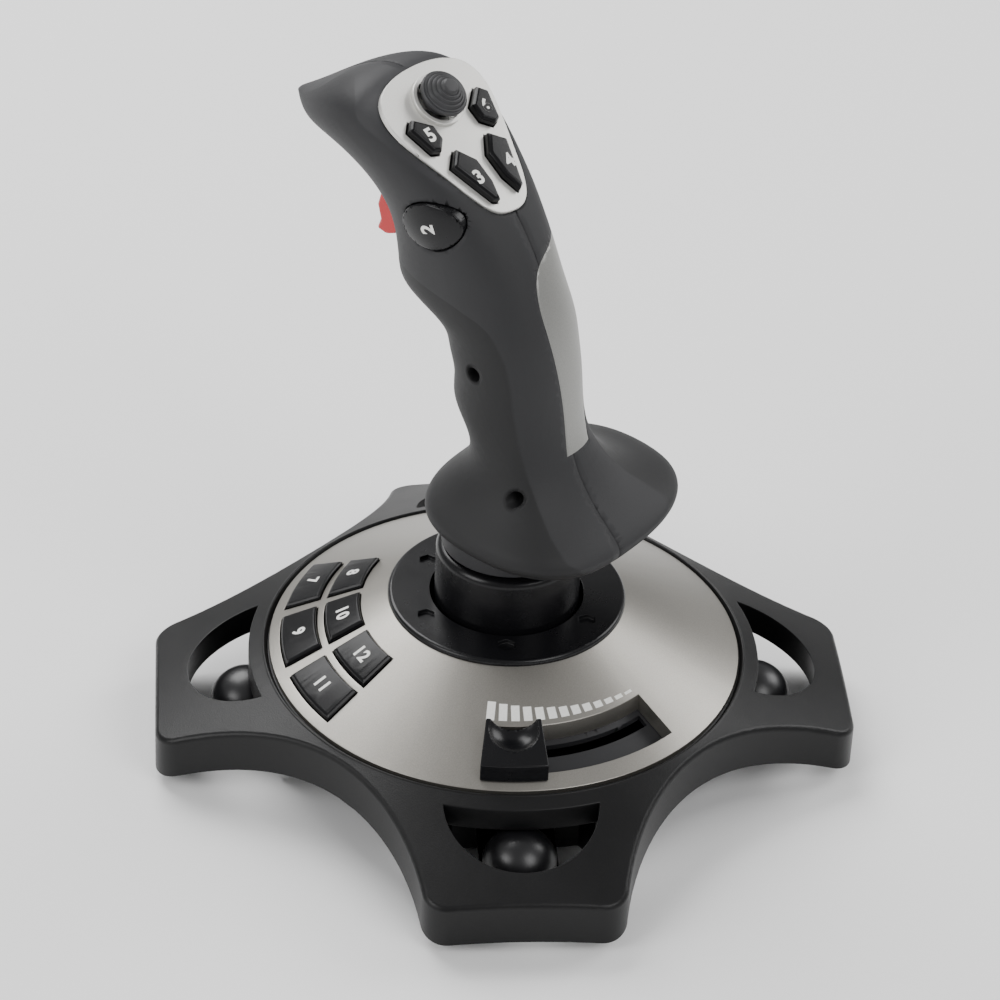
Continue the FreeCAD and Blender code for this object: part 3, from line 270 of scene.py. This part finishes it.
def maths(material, operation, first, second=0.0, clamp=False):
    node = add_node(material, "ShaderNodeMath", {0: first, 1: second}, operation=operation,
                    use_clamp=clamp)
    return node.outputs["Value"]


GRIP_CREASE = [(0.098, -0.044), (0.102, -0.039), (0.108, -0.031), (0.116, -0.0235), (0.128, -0.0166),
               (0.140, -0.0132), (0.153, -0.011), (0.165, -0.007), (0.172, -0.0014), (0.1755, 0.008),
               (0.1775, 0.020), (0.1795, 0.060)]       # height, and how far forward the crease is there
HEAD_RIDGE = [(0.0, 0.205), (0.0159, 0.2138), (0.029, 0.2205), (0.0409, 0.2264), (0.0494, 0.2293),
              (0.0598, 0.2355), (0.068, 0.2335), (0.080, 0.2245), (0.090, 0.2175), (0.099, 0.213)]


def beyond(material, value, along, line, low, high, blur):
    """How far a value is past a line drawn over another axis, and a soft 0 to 1 mask of it."""
    past = maths(material, "SUBTRACT", value,
                 curve_of(material, along, line[0][0], line[-1][0], line, low, high))
    mask = add_node(material, "ShaderNodeMapRange", {"Value": past, "From Min": -blur, "From Max": blur},
                    interpolation_type="SMOOTHSTEP")
    return past, mask.outputs["Result"]


def soft_coating():
    """Soft-touch rubber paint over ABS: dead matte charcoal with a very fine tooth. Two moulded
    creases turn the light: one down the side of the grip, one along the side of the head.
    Painted shade darkens the finger side ahead of the grip crease, and a painted highlight
    lightens the head above its ridge."""
    colour = chosen("grip")
    material, shader, place = new_material("Rubber paint, soft touch", colour, 0.6, IOR=1.45)
    axes = add_node(material, "ShaderNodeSeparateXYZ", {"Vector": place})
    y, z = axes.outputs["Y"], axes.outputs["Z"]
    past_crease, ahead = beyond(material, y, z, GRIP_CREASE, -0.044, 0.060, 0.0006)
    past_ridge, above = beyond(material, z, y, HEAD_RIDGE, 0.205, 0.236, 0.0008)
    grip_part = add_node(material, "ShaderNodeMapRange",
                         {"Value": z, "From Min": 0.1800, "From Max": 0.1790}).outputs["Result"]
    head_part = add_node(material, "ShaderNodeMapRange",
                         {"Value": z, "From Min": 0.200, "From Max": 0.210}).outputs["Result"]
    # Painted shade: the finger side ahead of the grip crease is painted 55% darker. Painted highlight:
    # the crown above the head ridge is painted 35% lighter.
    finger_side_shade = maths(material, "MULTIPLY", ahead, grip_part)
    crown_highlight = maths(material, "MULTIPLY", above, head_part)
    # Painted shade and painted highlight set the colour's brightness here, before the random cloud mottle
    # multiplies it.
    painted_light_and_mottle = maths(material, "SUBTRACT", 1.0, maths(material, "MULTIPLY", finger_side_shade, 0.55))
    painted_light_and_mottle = maths(material, "ADD", painted_light_and_mottle, maths(material, "MULTIPLY", crown_highlight, 0.35))
    cloud = noise(material, place, 16.0)
    light = add_node(material, "ShaderNodeMapRange",
                     {"Value": cloud.outputs["Fac"], "To Min": 0.94, "To Max": 1.06})
    painted_light_and_mottle = maths(material, "MULTIPLY", painted_light_and_mottle, light.outputs["Result"])
    hue = add_node(material, "ShaderNodeVectorMath", {0: colour[:3], 1: painted_light_and_mottle}, operation="MULTIPLY")
    link(material, hue.outputs["Vector"], shader, "Base Color")
    behind = maths(material, "MAXIMUM", maths(material, "MINIMUM", past_crease, 0.0), -0.016)
    fade = add_node(material, "ShaderNodeMapRange", {"Value": z, "From Min": 0.178, "From Max": 0.140},
                    interpolation_type="SMOOTHSTEP")
    facet = maths(material, "MULTIPLY", maths(material, "MULTIPLY", behind, 0.26), fade.outputs["Result"])
    rise = maths(material, "MINIMUM", maths(material, "MAXIMUM", past_ridge, 0.0), 0.01)
    crowned = maths(material, "MULTIPLY", maths(material, "MULTIPLY", rise, -0.22), head_part)
    relief = maths(material, "ADD", facet, crowned)
    turned_light = bumped(material, shader, relief, 1000.0)
    tooth = noise(material, place, 0.45, 3.0, 0.65)
    bumped(material, shader, tooth.outputs["Fac"], 0.03, turned_light)
    return material


def champagne_paint():
    """Metallic paint over the plate: warm silver flake under a satin lacquer."""
    colour = chosen("plate")
    material, shader, place = new_material("Metallic paint, champagne", colour, 0.34, 0.9)
    flake = noise(material, place, 0.35, 4.0, 0.7)
    varied_colour(material, shader, flake.outputs["Fac"], shade(colour, 0.90), shade(colour, 1.08))
    cloud = noise(material, place, 30.0)
    varied_roughness(material, shader, cloud.outputs["Fac"], 0.32, 0.40)
    bumped(material, shader, flake.outputs["Fac"], 0.008)
    return material


def panel_paint():
    """Metallic paint on the head panel: bright silver, close to white in soft light."""
    colour = chosen("panel")
    material, shader, place = new_material("Metallic paint, bright silver", colour, 0.34, 0.55)
    flake = noise(material, place, 0.3, 4.0, 0.7)
    varied_colour(material, shader, flake.outputs["Fac"], shade(colour, 0.93), shade(colour, 1.04))
    bumped(material, shader, flake.outputs["Fac"], 0.006)
    return material


def strip_paint():
    """Metallic paint on the rear strip: mid-grey silver with a satin surface."""
    colour = chosen("strip")
    material, shader, place = new_material("Metallic paint, satin grey", colour, 0.42, 0.6)
    flake = noise(material, place, 0.4, 4.0, 0.7)
    varied_colour(material, shader, flake.outputs["Fac"], shade(colour, 0.90), shade(colour, 1.05))
    bumped(material, shader, flake.outputs["Fac"], 0.008)
    return material


def red_abs():
    """Polished red ABS of the trigger: saturated, with a clear highlight."""
    material, shader, place = new_material("ABS, red", chosen("trigger"), 0.24, IOR=1.53)
    fine = noise(material, place, 3.0)
    varied_roughness(material, shader, fine.outputs["Fac"], 0.2, 0.3)
    return material


def dark_rubber(name, hex_colour, roughness, grain_mm, depth_mm):
    """Moulded rubber: deep black, soft reflections and a faint bloom."""
    colour = linear(hex_colour)
    material, shader, place = new_material(name, colour, roughness, IOR=1.52)
    bloom = noise(material, place, 7.0, 3.0)
    varied_colour(material, shader, bloom.outputs["Fac"], shade(colour, 0.85), shade(colour, 1.25))
    grain = noise(material, place, grain_mm, 2.0)
    bumped(material, shader, grain.outputs["Fac"], depth_mm)
    return material


def plain_plastic(name, hex_colour, roughness, grain_mm=0.8):
    """Unpainted injection moulding: even colour with a slight moulded skin."""
    colour = linear(hex_colour)
    material, shader, place = new_material(name, colour, roughness, IOR=1.5)
    skin = noise(material, place, grain_mm, 2.0)
    varied_colour(material, shader, skin.outputs["Fac"], shade(colour, 0.94), shade(colour, 1.06))
    bumped(material, shader, skin.outputs["Fac"], 0.012)
    return material


def circuit_board():
    """Glass-epoxy board under green solder mask, with the copper tracks just showing through."""
    colour = linear("#12532f")
    material, shader, place = new_material("Epoxy board, solder mask", colour, 0.3, IOR=1.55)
    tracks = add_node(material, "ShaderNodeTexBrick", {
        "Vector": place, "Scale": 1 / (9.0 * MM), "Color1": colour, "Color2": shade(colour, 1.2),
        "Mortar": shade(colour, 2.1), "Mortar Size": 0.03, "Row Height": 0.3, "Brick Width": 0.7})
    link(material, tracks.outputs["Color"], shader, "Base Color")
    return material


def bright_steel(name, hex_colour, roughness):
    """Drawn steel: neutral grey metal with fine lines from the die."""
    colour = linear(hex_colour)
    material, shader, place = new_material(name, colour, roughness, 1.0)
    lines = noise(material, place, 0.5, 3.0, 0.6)
    varied_roughness(material, shader, lines.outputs["Fac"], roughness - 0.06, roughness + 0.08)
    bumped(material, shader, lines.outputs["Fac"], 0.005)
    return material


def printing_ink():
    """Pad-printed ink: opaque white with a low gloss."""
    colour = chosen("ink")
    material, shader, place = new_material("Ink, white", colour, 0.45, IOR=1.5)
    cover = noise(material, place, 0.6, 2.0)
    varied_colour(material, shader, cover.outputs["Fac"], shade(colour, 0.93), colour)
    return material


def floor_paper():
    """Seamless paper of the stage: pale and matte, with a trace of fibre."""
    colour = linear("#f4f4f4")
    material, shader, place = new_material("Paper, seamless", colour, 0.75)
    fibre = noise(material, place, 1.5, 3.0)
    bumped(material, shader, fibre.outputs["Fac"], 0.01)
    return material


def make_materials():
    """One material for each of the record's slots, with ink besides."""
    return {
        "satin_black": satin_abs(),
        "gloss_black": gloss_abs(),
        "key_black": key_abs(),
        "soft_grip": soft_coating(),
        "silver_paint": champagne_paint(),
        "panel_silver": panel_paint(),
        "strip_silver": strip_paint(),
        "trigger_red": red_abs(),
        "cup_rubber": dark_rubber("Rubber, smooth black", "#141416", 0.34, 1.2, 0.01),
        "hat_rubber": dark_rubber("Rubber, hat cap", "#2c2c2e", 0.5, 0.5, 0.02),
        "inner_plastic": plain_plastic("ABS, black unpainted", "#1d1d20", 0.5),
        "natural_nylon": plain_plastic("Nylon, natural", "#d8d2bd", 0.42),
        "circuit_board": circuit_board(),
        "switch_black": plain_plastic("Nylon, switch body", "#161618", 0.4),
        "steel": bright_steel("Steel, drawn", "#b6b6b8", 0.3),
        "zinc": bright_steel("Steel, zinc plated", "#c6c8c4", 0.34),
        "magnet": bright_steel("Magnet, nickel plated", "#d0cdc6", 0.16),
        "ink": printing_ink(),
    }


MATERIALS = {}
SLOT_OF = {entry["node"]: entry["material_slot"] for entry in frame["record"]["subparts"]}
BODY_OF = {node: body for body, nodes in frame["record"]["behaviour"]["bodies"].items() for node in nodes}


# ---------------------------------------------------------------- modelling helpers
def deselect():
    if bpy.context.object and bpy.context.object.mode != "OBJECT":
        bpy.ops.object.mode_set(mode="OBJECT")
    for thing in bpy.context.view_layer.objects:
        thing.select_set(False)


def make_active(piece):
    deselect()
    piece.hide_set(False)
    piece.select_set(True)
    bpy.context.view_layer.objects.active = piece


def finish_piece(piece, name, body, slot, nodes=(), smooth=None):
    """Names, paints and shades a piece, fixes its place in its mesh and lets it ride on a body."""
    make_active(piece)
    bpy.ops.object.transform_apply(location=True, rotation=True, scale=True)
    if smooth is not None:
        bpy.ops.object.shade_smooth_by_angle(angle=math.radians(smooth))
    piece.name = name
    piece.data.name = name
    piece.data.materials.clear()
    piece.data.materials.append(MATERIALS[slot])
    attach(piece, body)
    if nodes:
        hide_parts(*nodes)
    return piece


def mesh_of_node(node, flatten):
    """A merged copy of a CAD node's loose triangles, with its flat faces whole if asked."""
    source = frame["nodes"][node]
    deselect()
    piece = bpy.data.objects.new(node + "_look", source.data.copy())
    bpy.context.scene.collection.objects.link(piece)
    make_active(piece)
    bpy.ops.object.mode_set(mode="EDIT")
    bpy.ops.mesh.select_all(action="SELECT")
    bpy.ops.mesh.remove_doubles(threshold=0.002 * MM)
    bpy.ops.mesh.dissolve_degenerate(threshold=0.004 * MM)
    if flatten:
        bpy.ops.mesh.dissolve_limited(angle_limit=math.radians(0.4))
    bpy.ops.object.mode_set(mode="OBJECT")
    return piece


def apply_bevel(piece, width, segments=2, angle=32.0):
    make_active(piece)
    bevel = piece.modifiers.new("Edges", "BEVEL")
    bevel.width = width
    bevel.segments = segments
    bevel.limit_method = "ANGLE"
    bevel.angle_limit = math.radians(angle)
    bevel.use_clamp_overlap = False
    bevel.harden_normals = False
    bpy.ops.object.modifier_apply(modifier=bevel.name)


def even_normals(piece, angle):
    """Lets the large faces decide how each corner is shaded, so that edges don't streak them."""
    make_active(piece)
    bpy.ops.object.shade_smooth_by_angle(angle=math.radians(angle))
    weighted = piece.modifiers.new("Normals", "WEIGHTED_NORMAL")
    weighted.mode = "FACE_AREA"
    weighted.weight = 90
    weighted.keep_sharp = True
    bpy.ops.object.modifier_apply(modifier=weighted.name)


def refined(node, width_mm, smooth=40.0, segments=2, angle=32.0):
    """The CAD node's shape with rounded edges, standing for the node."""
    piece = mesh_of_node(node, bool(width_mm))
    if width_mm:
        apply_bevel(piece, width_mm * MM, segments, angle)
    even_normals(piece, smooth)
    return finish_piece(piece, node + "_finished", BODY_OF[node], SLOT_OF[node], [node])


def polar(r, degrees, z):
    a = math.radians(degrees)
    return Vector((r * math.cos(a), r * math.sin(a), z)) * MM


def plate_z(r):
    return PLATE_EDGE_Z + (PLATE_EDGE_R - r) * PLATE_SLOPE


def frame_matrix(across, up, out, at):
    """The transform that lays X, Y and Z along three directions, at a place."""
    turn = Matrix((across, up, out)).transposed().to_4x4()
    return Matrix.Translation(at) @ turn


def lathe(name, profile, segments=96):
    """A turned shape: a ring is extruded and resized along (radius, height) steps in mm."""
    deselect()
    radius, height = profile[0]
    bpy.ops.mesh.primitive_circle_add(vertices=segments, radius=radius * MM, location=(0, 0, 0))
    piece = bpy.context.object
    piece.name = name
    bpy.ops.object.mode_set(mode="EDIT")
    bpy.ops.mesh.select_all(action="SELECT")
    bpy.ops.transform.translate(value=(0, 0, height * MM))
    bpy.ops.mesh.extrude_region_move()
    bpy.ops.transform.resize(value=(0.0, 0.0, 1.0), center_override=(0, 0, height * MM))
    bpy.ops.mesh.merge(type="CENTER")
    bpy.ops.object.mode_set(mode="OBJECT")
    for before, after in zip(profile, profile[1:]):
        grow_ring(piece, before, after)
    bpy.ops.object.mode_set(mode="EDIT")
    bpy.ops.mesh.select_all(action="SELECT")
    bpy.ops.mesh.remove_doubles(threshold=0.002 * MM)
    bpy.ops.mesh.normals_make_consistent(inside=False)
    bpy.ops.object.mode_set(mode="OBJECT")
    return piece


def grow_ring(piece, before, after):
    """Extrudes the open ring at one radius and height to the next, or closes it at the axis."""
    open_edges = {}
    for polygon in piece.data.polygons:
        for key in polygon.edge_keys:
            open_edges[key] = open_edges.get(key, 0) + 1
    for vertex in piece.data.vertices:
        vertex.select = False
    for edge in piece.data.edges:
        rim = open_edges.get(edge.key, 0) == 1
        edge.select = rim
        if rim:
            for index in edge.vertices:
                piece.data.vertices[index].select = True
    bpy.ops.object.mode_set(mode="EDIT")
    bpy.ops.mesh.select_mode(type="EDGE")
    bpy.ops.mesh.extrude_edges_move()
    ratio = max(after[0], 0.001) / before[0]
    bpy.ops.transform.resize(value=(ratio, ratio, 1.0), center_override=(0, 0, before[1] * MM))
    bpy.ops.transform.translate(value=(0, 0, (after[1] - before[1]) * MM))
    bpy.ops.object.mode_set(mode="OBJECT")


def text_piece(words, height, matrix, name, body, weight=0.035):
    """Printed figures: a text object thickened, made a mesh and laid at a place."""
    deselect()
    bpy.ops.object.text_add(location=(0, 0, 0))
    text = bpy.context.object
    text.data.body = words
    text.data.size = height / 0.70
    text.data.align_x = "CENTER"
    text.data.align_y = "CENTER"
    text.data.offset = weight * text.data.size
    text.data.extrude = INK * MM / 2
    text.data.space_character = 1.1
    bpy.ops.object.convert(target="MESH")
    piece = bpy.context.object
    piece.matrix_world = matrix
    return finish_piece(piece, name, body, "ink", smooth=30.0)


class JoystickOperator:
    """What every operator of this add-on shares."""
    bl_options = {"REGISTER", "UNDO"}


# ---------------------------------------------------------------- pieces
class OBJECT_OT_joystick_base(JoystickOperator, bpy.types.Operator):
    """Base housing, bottom cover, suction cups and lead grommet"""
    bl_idname = "object.joystick_base"
    bl_label = "Base"

    def execute(self, context):
        edge = sizes().edge / MM
        refined("base_housing", edge * 0.9, smooth=38.0)
        refined("bottom_cover", edge * 0.8)
        refined("cable_inlet", edge)
        for number in range(1, 5):
            refined("suction_cup_%d" % number, edge, smooth=60.0)
        return {"FINISHED"}


class OBJECT_OT_joystick_plate(JoystickOperator, bpy.types.Operator):
    """Silver top plate with the white throttle scale"""
    bl_idname = "object.joystick_plate"
    bl_label = "Top plate and scale"

    def execute(self, context):
        refined("top_plate", 0.22)
        for number in range(BAR_COUNT):
            self.scale_bar(number)
        return {"FINISHED"}

    def scale_bar(self, number):
        """A printed bar: a flat block tapered to the arc, laid on the cone of the plate."""
        share = number / (BAR_COUNT - 1)
        angle = BAR_FIRST + (BAR_LAST - BAR_FIRST) * share + BAR_SPAN / 2 * (1 - 2 * share)
        length = BAR_LONG + (BAR_SHORT - BAR_LONG) * share ** 0.9
        inner = BAR_OUTER_R - length
        middle = BAR_OUTER_R - length / 2
        deselect()
        bpy.ops.mesh.primitive_cube_add(size=1.0)
        piece = bpy.context.object
        width = 2 * BAR_OUTER_R * math.tan(math.radians(BAR_SPAN / 2)) * MM
        slant = length * MM / math.cos(PLATE_TILT)
        piece.scale = (width, slant, INK * MM)
        bpy.ops.object.transform_apply(scale=True)
        for vertex in piece.data.vertices:
            vertex.select = vertex.co.y > 0
        bpy.ops.object.mode_set(mode="EDIT")
        taper = inner / BAR_OUTER_R
        bpy.ops.transform.resize(value=(taper, 1, 1), center_override=(0, slant / 2, 0))
        bpy.ops.object.mode_set(mode="OBJECT")
        a = math.radians(angle)
        inward = Vector((-math.cos(a) * math.cos(PLATE_TILT), -math.sin(a) * math.cos(PLATE_TILT),
                         math.sin(PLATE_TILT)))
        out = Vector((math.cos(a) * math.sin(PLATE_TILT), math.sin(a) * math.sin(PLATE_TILT),
                      math.cos(PLATE_TILT)))
        at = polar(middle, angle, plate_z(middle)) + out * INK * 0.4 * MM
        piece.matrix_world = frame_matrix(inward.cross(out), inward, out, at)
        finish_piece(piece, "scale_bar_%02d" % (number + 1), "base", "ink", smooth=30.0)


class OBJECT_OT_joystick_keys(JoystickOperator, bpy.types.Operator):
    """Base keys with their printed digits"""
    bl_idname = "object.joystick_keys"
    bl_label = "Base keys"

    def execute(self, context):
        for number, row, column in KEYS:
            node = "button_%d" % number
            refined(node, 0.3, segments=3)
            radius = sum(KEY_ROWS[row]) / 2 + 0.2
            angle = KEY_ANGLE + KEY_PITCH * column
            a = math.radians(angle)
            up = Vector((-math.cos(a) * math.cos(PLATE_TILT), -math.sin(a) * math.cos(PLATE_TILT),
                         math.sin(PLATE_TILT)))
            out = Vector((math.cos(a) * math.sin(PLATE_TILT), math.sin(a) * math.sin(PLATE_TILT),
                          math.cos(PLATE_TILT)))
            at = polar(radius, angle, plate_z(radius) + KEY_PROUD) + out * 0.03 * MM
            matrix = frame_matrix(up.cross(out), up, out, at)
            text_piece(str(number), sizes().key_digit, matrix, "digit_%d" % number, BODY_OF[node])
        return {"FINISHED"}


class OBJECT_OT_joystick_throttle(JoystickOperator, bpy.types.Operator):
    """Throttle knob, its carrier and the tray below the slot"""
    bl_idname = "object.joystick_throttle"
    bl_label = "Throttle"

    def execute(self, context):
        refined("throttle_knob", 0.4, segments=3, smooth=50.0, angle=50.0)
        refined("throttle_tray", 0.0, smooth=6.0)
        refined("throttle_carrier", 0.15)
        return {"FINISHED"}


class OBJECT_OT_joystick_collar(JoystickOperator, bpy.types.Operator):
    """Collar ring, stick sleeve and the drum under the hand rest"""
    bl_idname = "object.joystick_collar"
    bl_label = "Collar and sleeve"

    def execute(self, context):
        refined("collar_ring", 0.2)
        refined("stick_sleeve", 0.3)
        refined("twist_collar", 0.5)
        return {"FINISHED"}


class OBJECT_OT_joystick_grip(JoystickOperator, bpy.types.Operator):
    """Two handle shells, the rear strip and the side button"""
    bl_idname = "object.joystick_grip"
    bl_label = "Grip"

    def execute(self, context):
        refined("handle_left_shell", 0.0, smooth=48.0)
        refined("handle_right_shell", 0.0, smooth=48.0)
        refined("rear_strip", 0.0, smooth=40.0)
        refined("button_2", 0.5, segments=4, smooth=60.0)
        up = Vector((0, 0.95, -0.30))
        up = (up - SIDE_OUT * up.dot(SIDE_OUT)).normalized()
        at = SIDE_AT + SIDE_OUT * (SIDE_PROUD - 0.02) * MM
        matrix = frame_matrix(up.cross(SIDE_OUT), up, SIDE_OUT, at)
        text_piece("2", sizes().head_digit, matrix, "digit_2", BODY_OF["button_2"])
        return {"FINISHED"}


class OBJECT_OT_joystick_head(JoystickOperator, bpy.types.Operator):
    """Head panel, its four buttons and their digits"""
    bl_idname = "object.joystick_head"
    bl_label = "Head panel"

    def execute(self, context):
        refined("head_panel", 0.25)
        refined("hat_ring", 0.3, segments=3)
        for number, u, v in PAD_DIGITS:
            node = "button_%d" % number
            refined(node, 0.35, segments=3)
            at = PANEL_AT + ACROSS * u * MM + PANEL_UP * v * MM + PANEL_OUT * (PAD_PROUD + 0.10) * MM
            matrix = frame_matrix(ACROSS, PANEL_UP, PANEL_OUT, at)
            text_piece(str(number), sizes().head_digit, matrix, "digit_%d" % number, BODY_OF[node])
        return {"FINISHED"}


class OBJECT_OT_joystick_hat(JoystickOperator, bpy.types.Operator):
    """Ridged rubber cap of the hat switch"""
    bl_idname = "object.joystick_hat"
    bl_label = "Hat switch"

    def execute(self, context):
        ridge = sizes().hat_ridge / MM
        profile = [(5.6, 0.9), (5.0, 3.8), (7.6, 4.2), (8.1, 4.7), (8.1, 5.5), (7.8, 6.0)]
        rings = 4
        for ring in range(rings):
            radius = 7.4 - ring * 1.15
            height = 6.0 + ring * 0.95
            profile += [(radius, height), (radius - 0.1, height + ridge)]
            profile += [(radius - 0.55, height + ridge * 1.25), (radius - 0.8, height + ridge)]
        profile += [(2.9, 9.6), (2.7, 10.1), (2.2, 10.45), (1.2, 10.5), (0.0, 10.5)]
        piece = lathe("hat_cap_finished", profile)
        at = PANEL_AT + PANEL_UP * HAT_V * MM
        piece.matrix_world = frame_matrix(ACROSS, PANEL_UP, PANEL_OUT, at)
        finish_piece(piece, "hat_cap_finished", BODY_OF["hat_cap"], "hat_rubber", ["hat_cap"], 28.0)
        return {"FINISHED"}


class OBJECT_OT_joystick_trigger(JoystickOperator, bpy.types.Operator):
    """Red trigger"""
    bl_idname = "object.joystick_trigger"
    bl_label = "Trigger"

    def execute(self, context):
        refined("trigger", 0.6, segments=3, smooth=50.0)
        return {"FINISHED"}


class OBJECT_OT_joystick_works(JoystickOperator, bpy.types.Operator):
    """Paint for the CAD parts that stay as they are: gimbal, springs, boards and screws"""
    bl_idname = "object.joystick_works"
    bl_label = "Inner works"

    def execute(self, context):
        for node, thing in frame["nodes"].items():
            thing.data.materials.clear()
            thing.data.materials.append(MATERIALS[SLOT_OF[node]])
        return {"FINISHED"}


# ---------------------------------------------------------------- stage
EYE = Vector((-825.30, -674.36, 841.84)) * MM
VIEW = Vector((0.63252, 0.52055, -0.57354))
VIEW_RIGHT = Vector((0.65649, -0.75326, 0.04033))
VIEW_UP = Vector((0.41103, 0.40203, 0.81819))
LENS = 140.94
SENSOR = 36.0


class OBJECT_OT_joystick_stage(JoystickOperator, bpy.types.Operator):
    """Pale floor, soft lights and the camera"""
    bl_idname = "object.joystick_stage"
    bl_label = "Stage"

    def execute(self, context):
        self.floor()
        self.camera(context)
        self.lights(context)
        return {"FINISHED"}

    def floor(self):
        deselect()
        bpy.ops.mesh.primitive_plane_add(size=6.0, location=(0, 0, 0))
        floor = bpy.context.object
        floor.name = "floor"
        floor.data.materials.append(floor_paper())

    def camera(self, context):
        deselect()
        bpy.ops.object.camera_add()
        camera = bpy.context.object
        camera.matrix_world = frame_matrix(VIEW_RIGHT, VIEW_UP, -VIEW, EYE)
        camera.data.lens = LENS
        camera.data.sensor_width = SENSOR
        camera.data.clip_start = 0.05
        context.scene.camera = camera

    def lights(self, context):
        """A large soft box behind and above, one to each side, and an even room."""
        target = Vector((0, 0, 110)) * MM
        boxes = [((0.35, 1.10, 1.45), 1.2, 34.0), ((-1.6, 0.45, 1.1), 0.9, 15.0),
                 ((-0.2, -1.6, 1.5), 1.0, 17.0), ((1.5, -0.6, 1.1), 0.9, 14.0)]
        for number, (place, size, power) in enumerate(boxes, 1):
            deselect()
            bpy.ops.object.light_add(type="AREA", location=place)
            light = bpy.context.object
            light.name = "soft_box_%d" % number
            light.data.size = size
            light.data.energy = power
            aim = (target - Vector(place)).to_track_quat("-Z", "Y")
            light.rotation_euler = aim.to_euler()
        world = context.scene.world or bpy.data.worlds.new("room")
        context.scene.world = world
        world.use_nodes = True
        background = world.node_tree.nodes.get("Background")
        background.inputs["Color"].default_value = (1.0, 1.0, 1.0, 1.0)
        background.inputs["Strength"].default_value = 0.42


class VIEW3D_PT_joystick(bpy.types.Panel):
    """Lists the joystick's pieces, sizes and colours"""
    bl_label = "Joystick"
    bl_idname = "VIEW3D_PT_joystick"
    bl_space_type = "VIEW_3D"
    bl_region_type = "UI"
    bl_category = "Joystick"

    def draw(self, context):
        for group in (context.scene.joystick_sizes, context.scene.joystick_colours):
            for name in group.bl_rna.properties.keys():
                if name not in ("rna_type", "name"):
                    self.layout.prop(group, name)
        for operator in OPERATORS:
            self.layout.operator(operator.bl_idname)


OPERATORS = (
    OBJECT_OT_joystick_works,
    OBJECT_OT_joystick_base,
    OBJECT_OT_joystick_plate,
    OBJECT_OT_joystick_keys,
    OBJECT_OT_joystick_throttle,
    OBJECT_OT_joystick_collar,
    OBJECT_OT_joystick_grip,
    OBJECT_OT_joystick_head,
    OBJECT_OT_joystick_hat,
    OBJECT_OT_joystick_trigger,
    OBJECT_OT_joystick_stage,
)
CLASSES = (JoystickSizes, JoystickColours, *OPERATORS, VIEW3D_PT_joystick)


def register():
    for cls in CLASSES:
        bpy.utils.register_class(cls)
    bpy.types.Scene.joystick_sizes = bpy.props.PointerProperty(type=JoystickSizes)
    bpy.types.Scene.joystick_colours = bpy.props.PointerProperty(type=JoystickColours)


def unregister():
    del bpy.types.Scene.joystick_colours
    del bpy.types.Scene.joystick_sizes
    for cls in reversed(CLASSES):
        bpy.utils.unregister_class(cls)


def main():
    register()
    MATERIALS.update(make_materials())
    for operator in OPERATORS:
        category, name = operator.bl_idname.split(".")
        getattr(getattr(bpy.ops, category), name)()


if __name__ == "__main__":
    main()
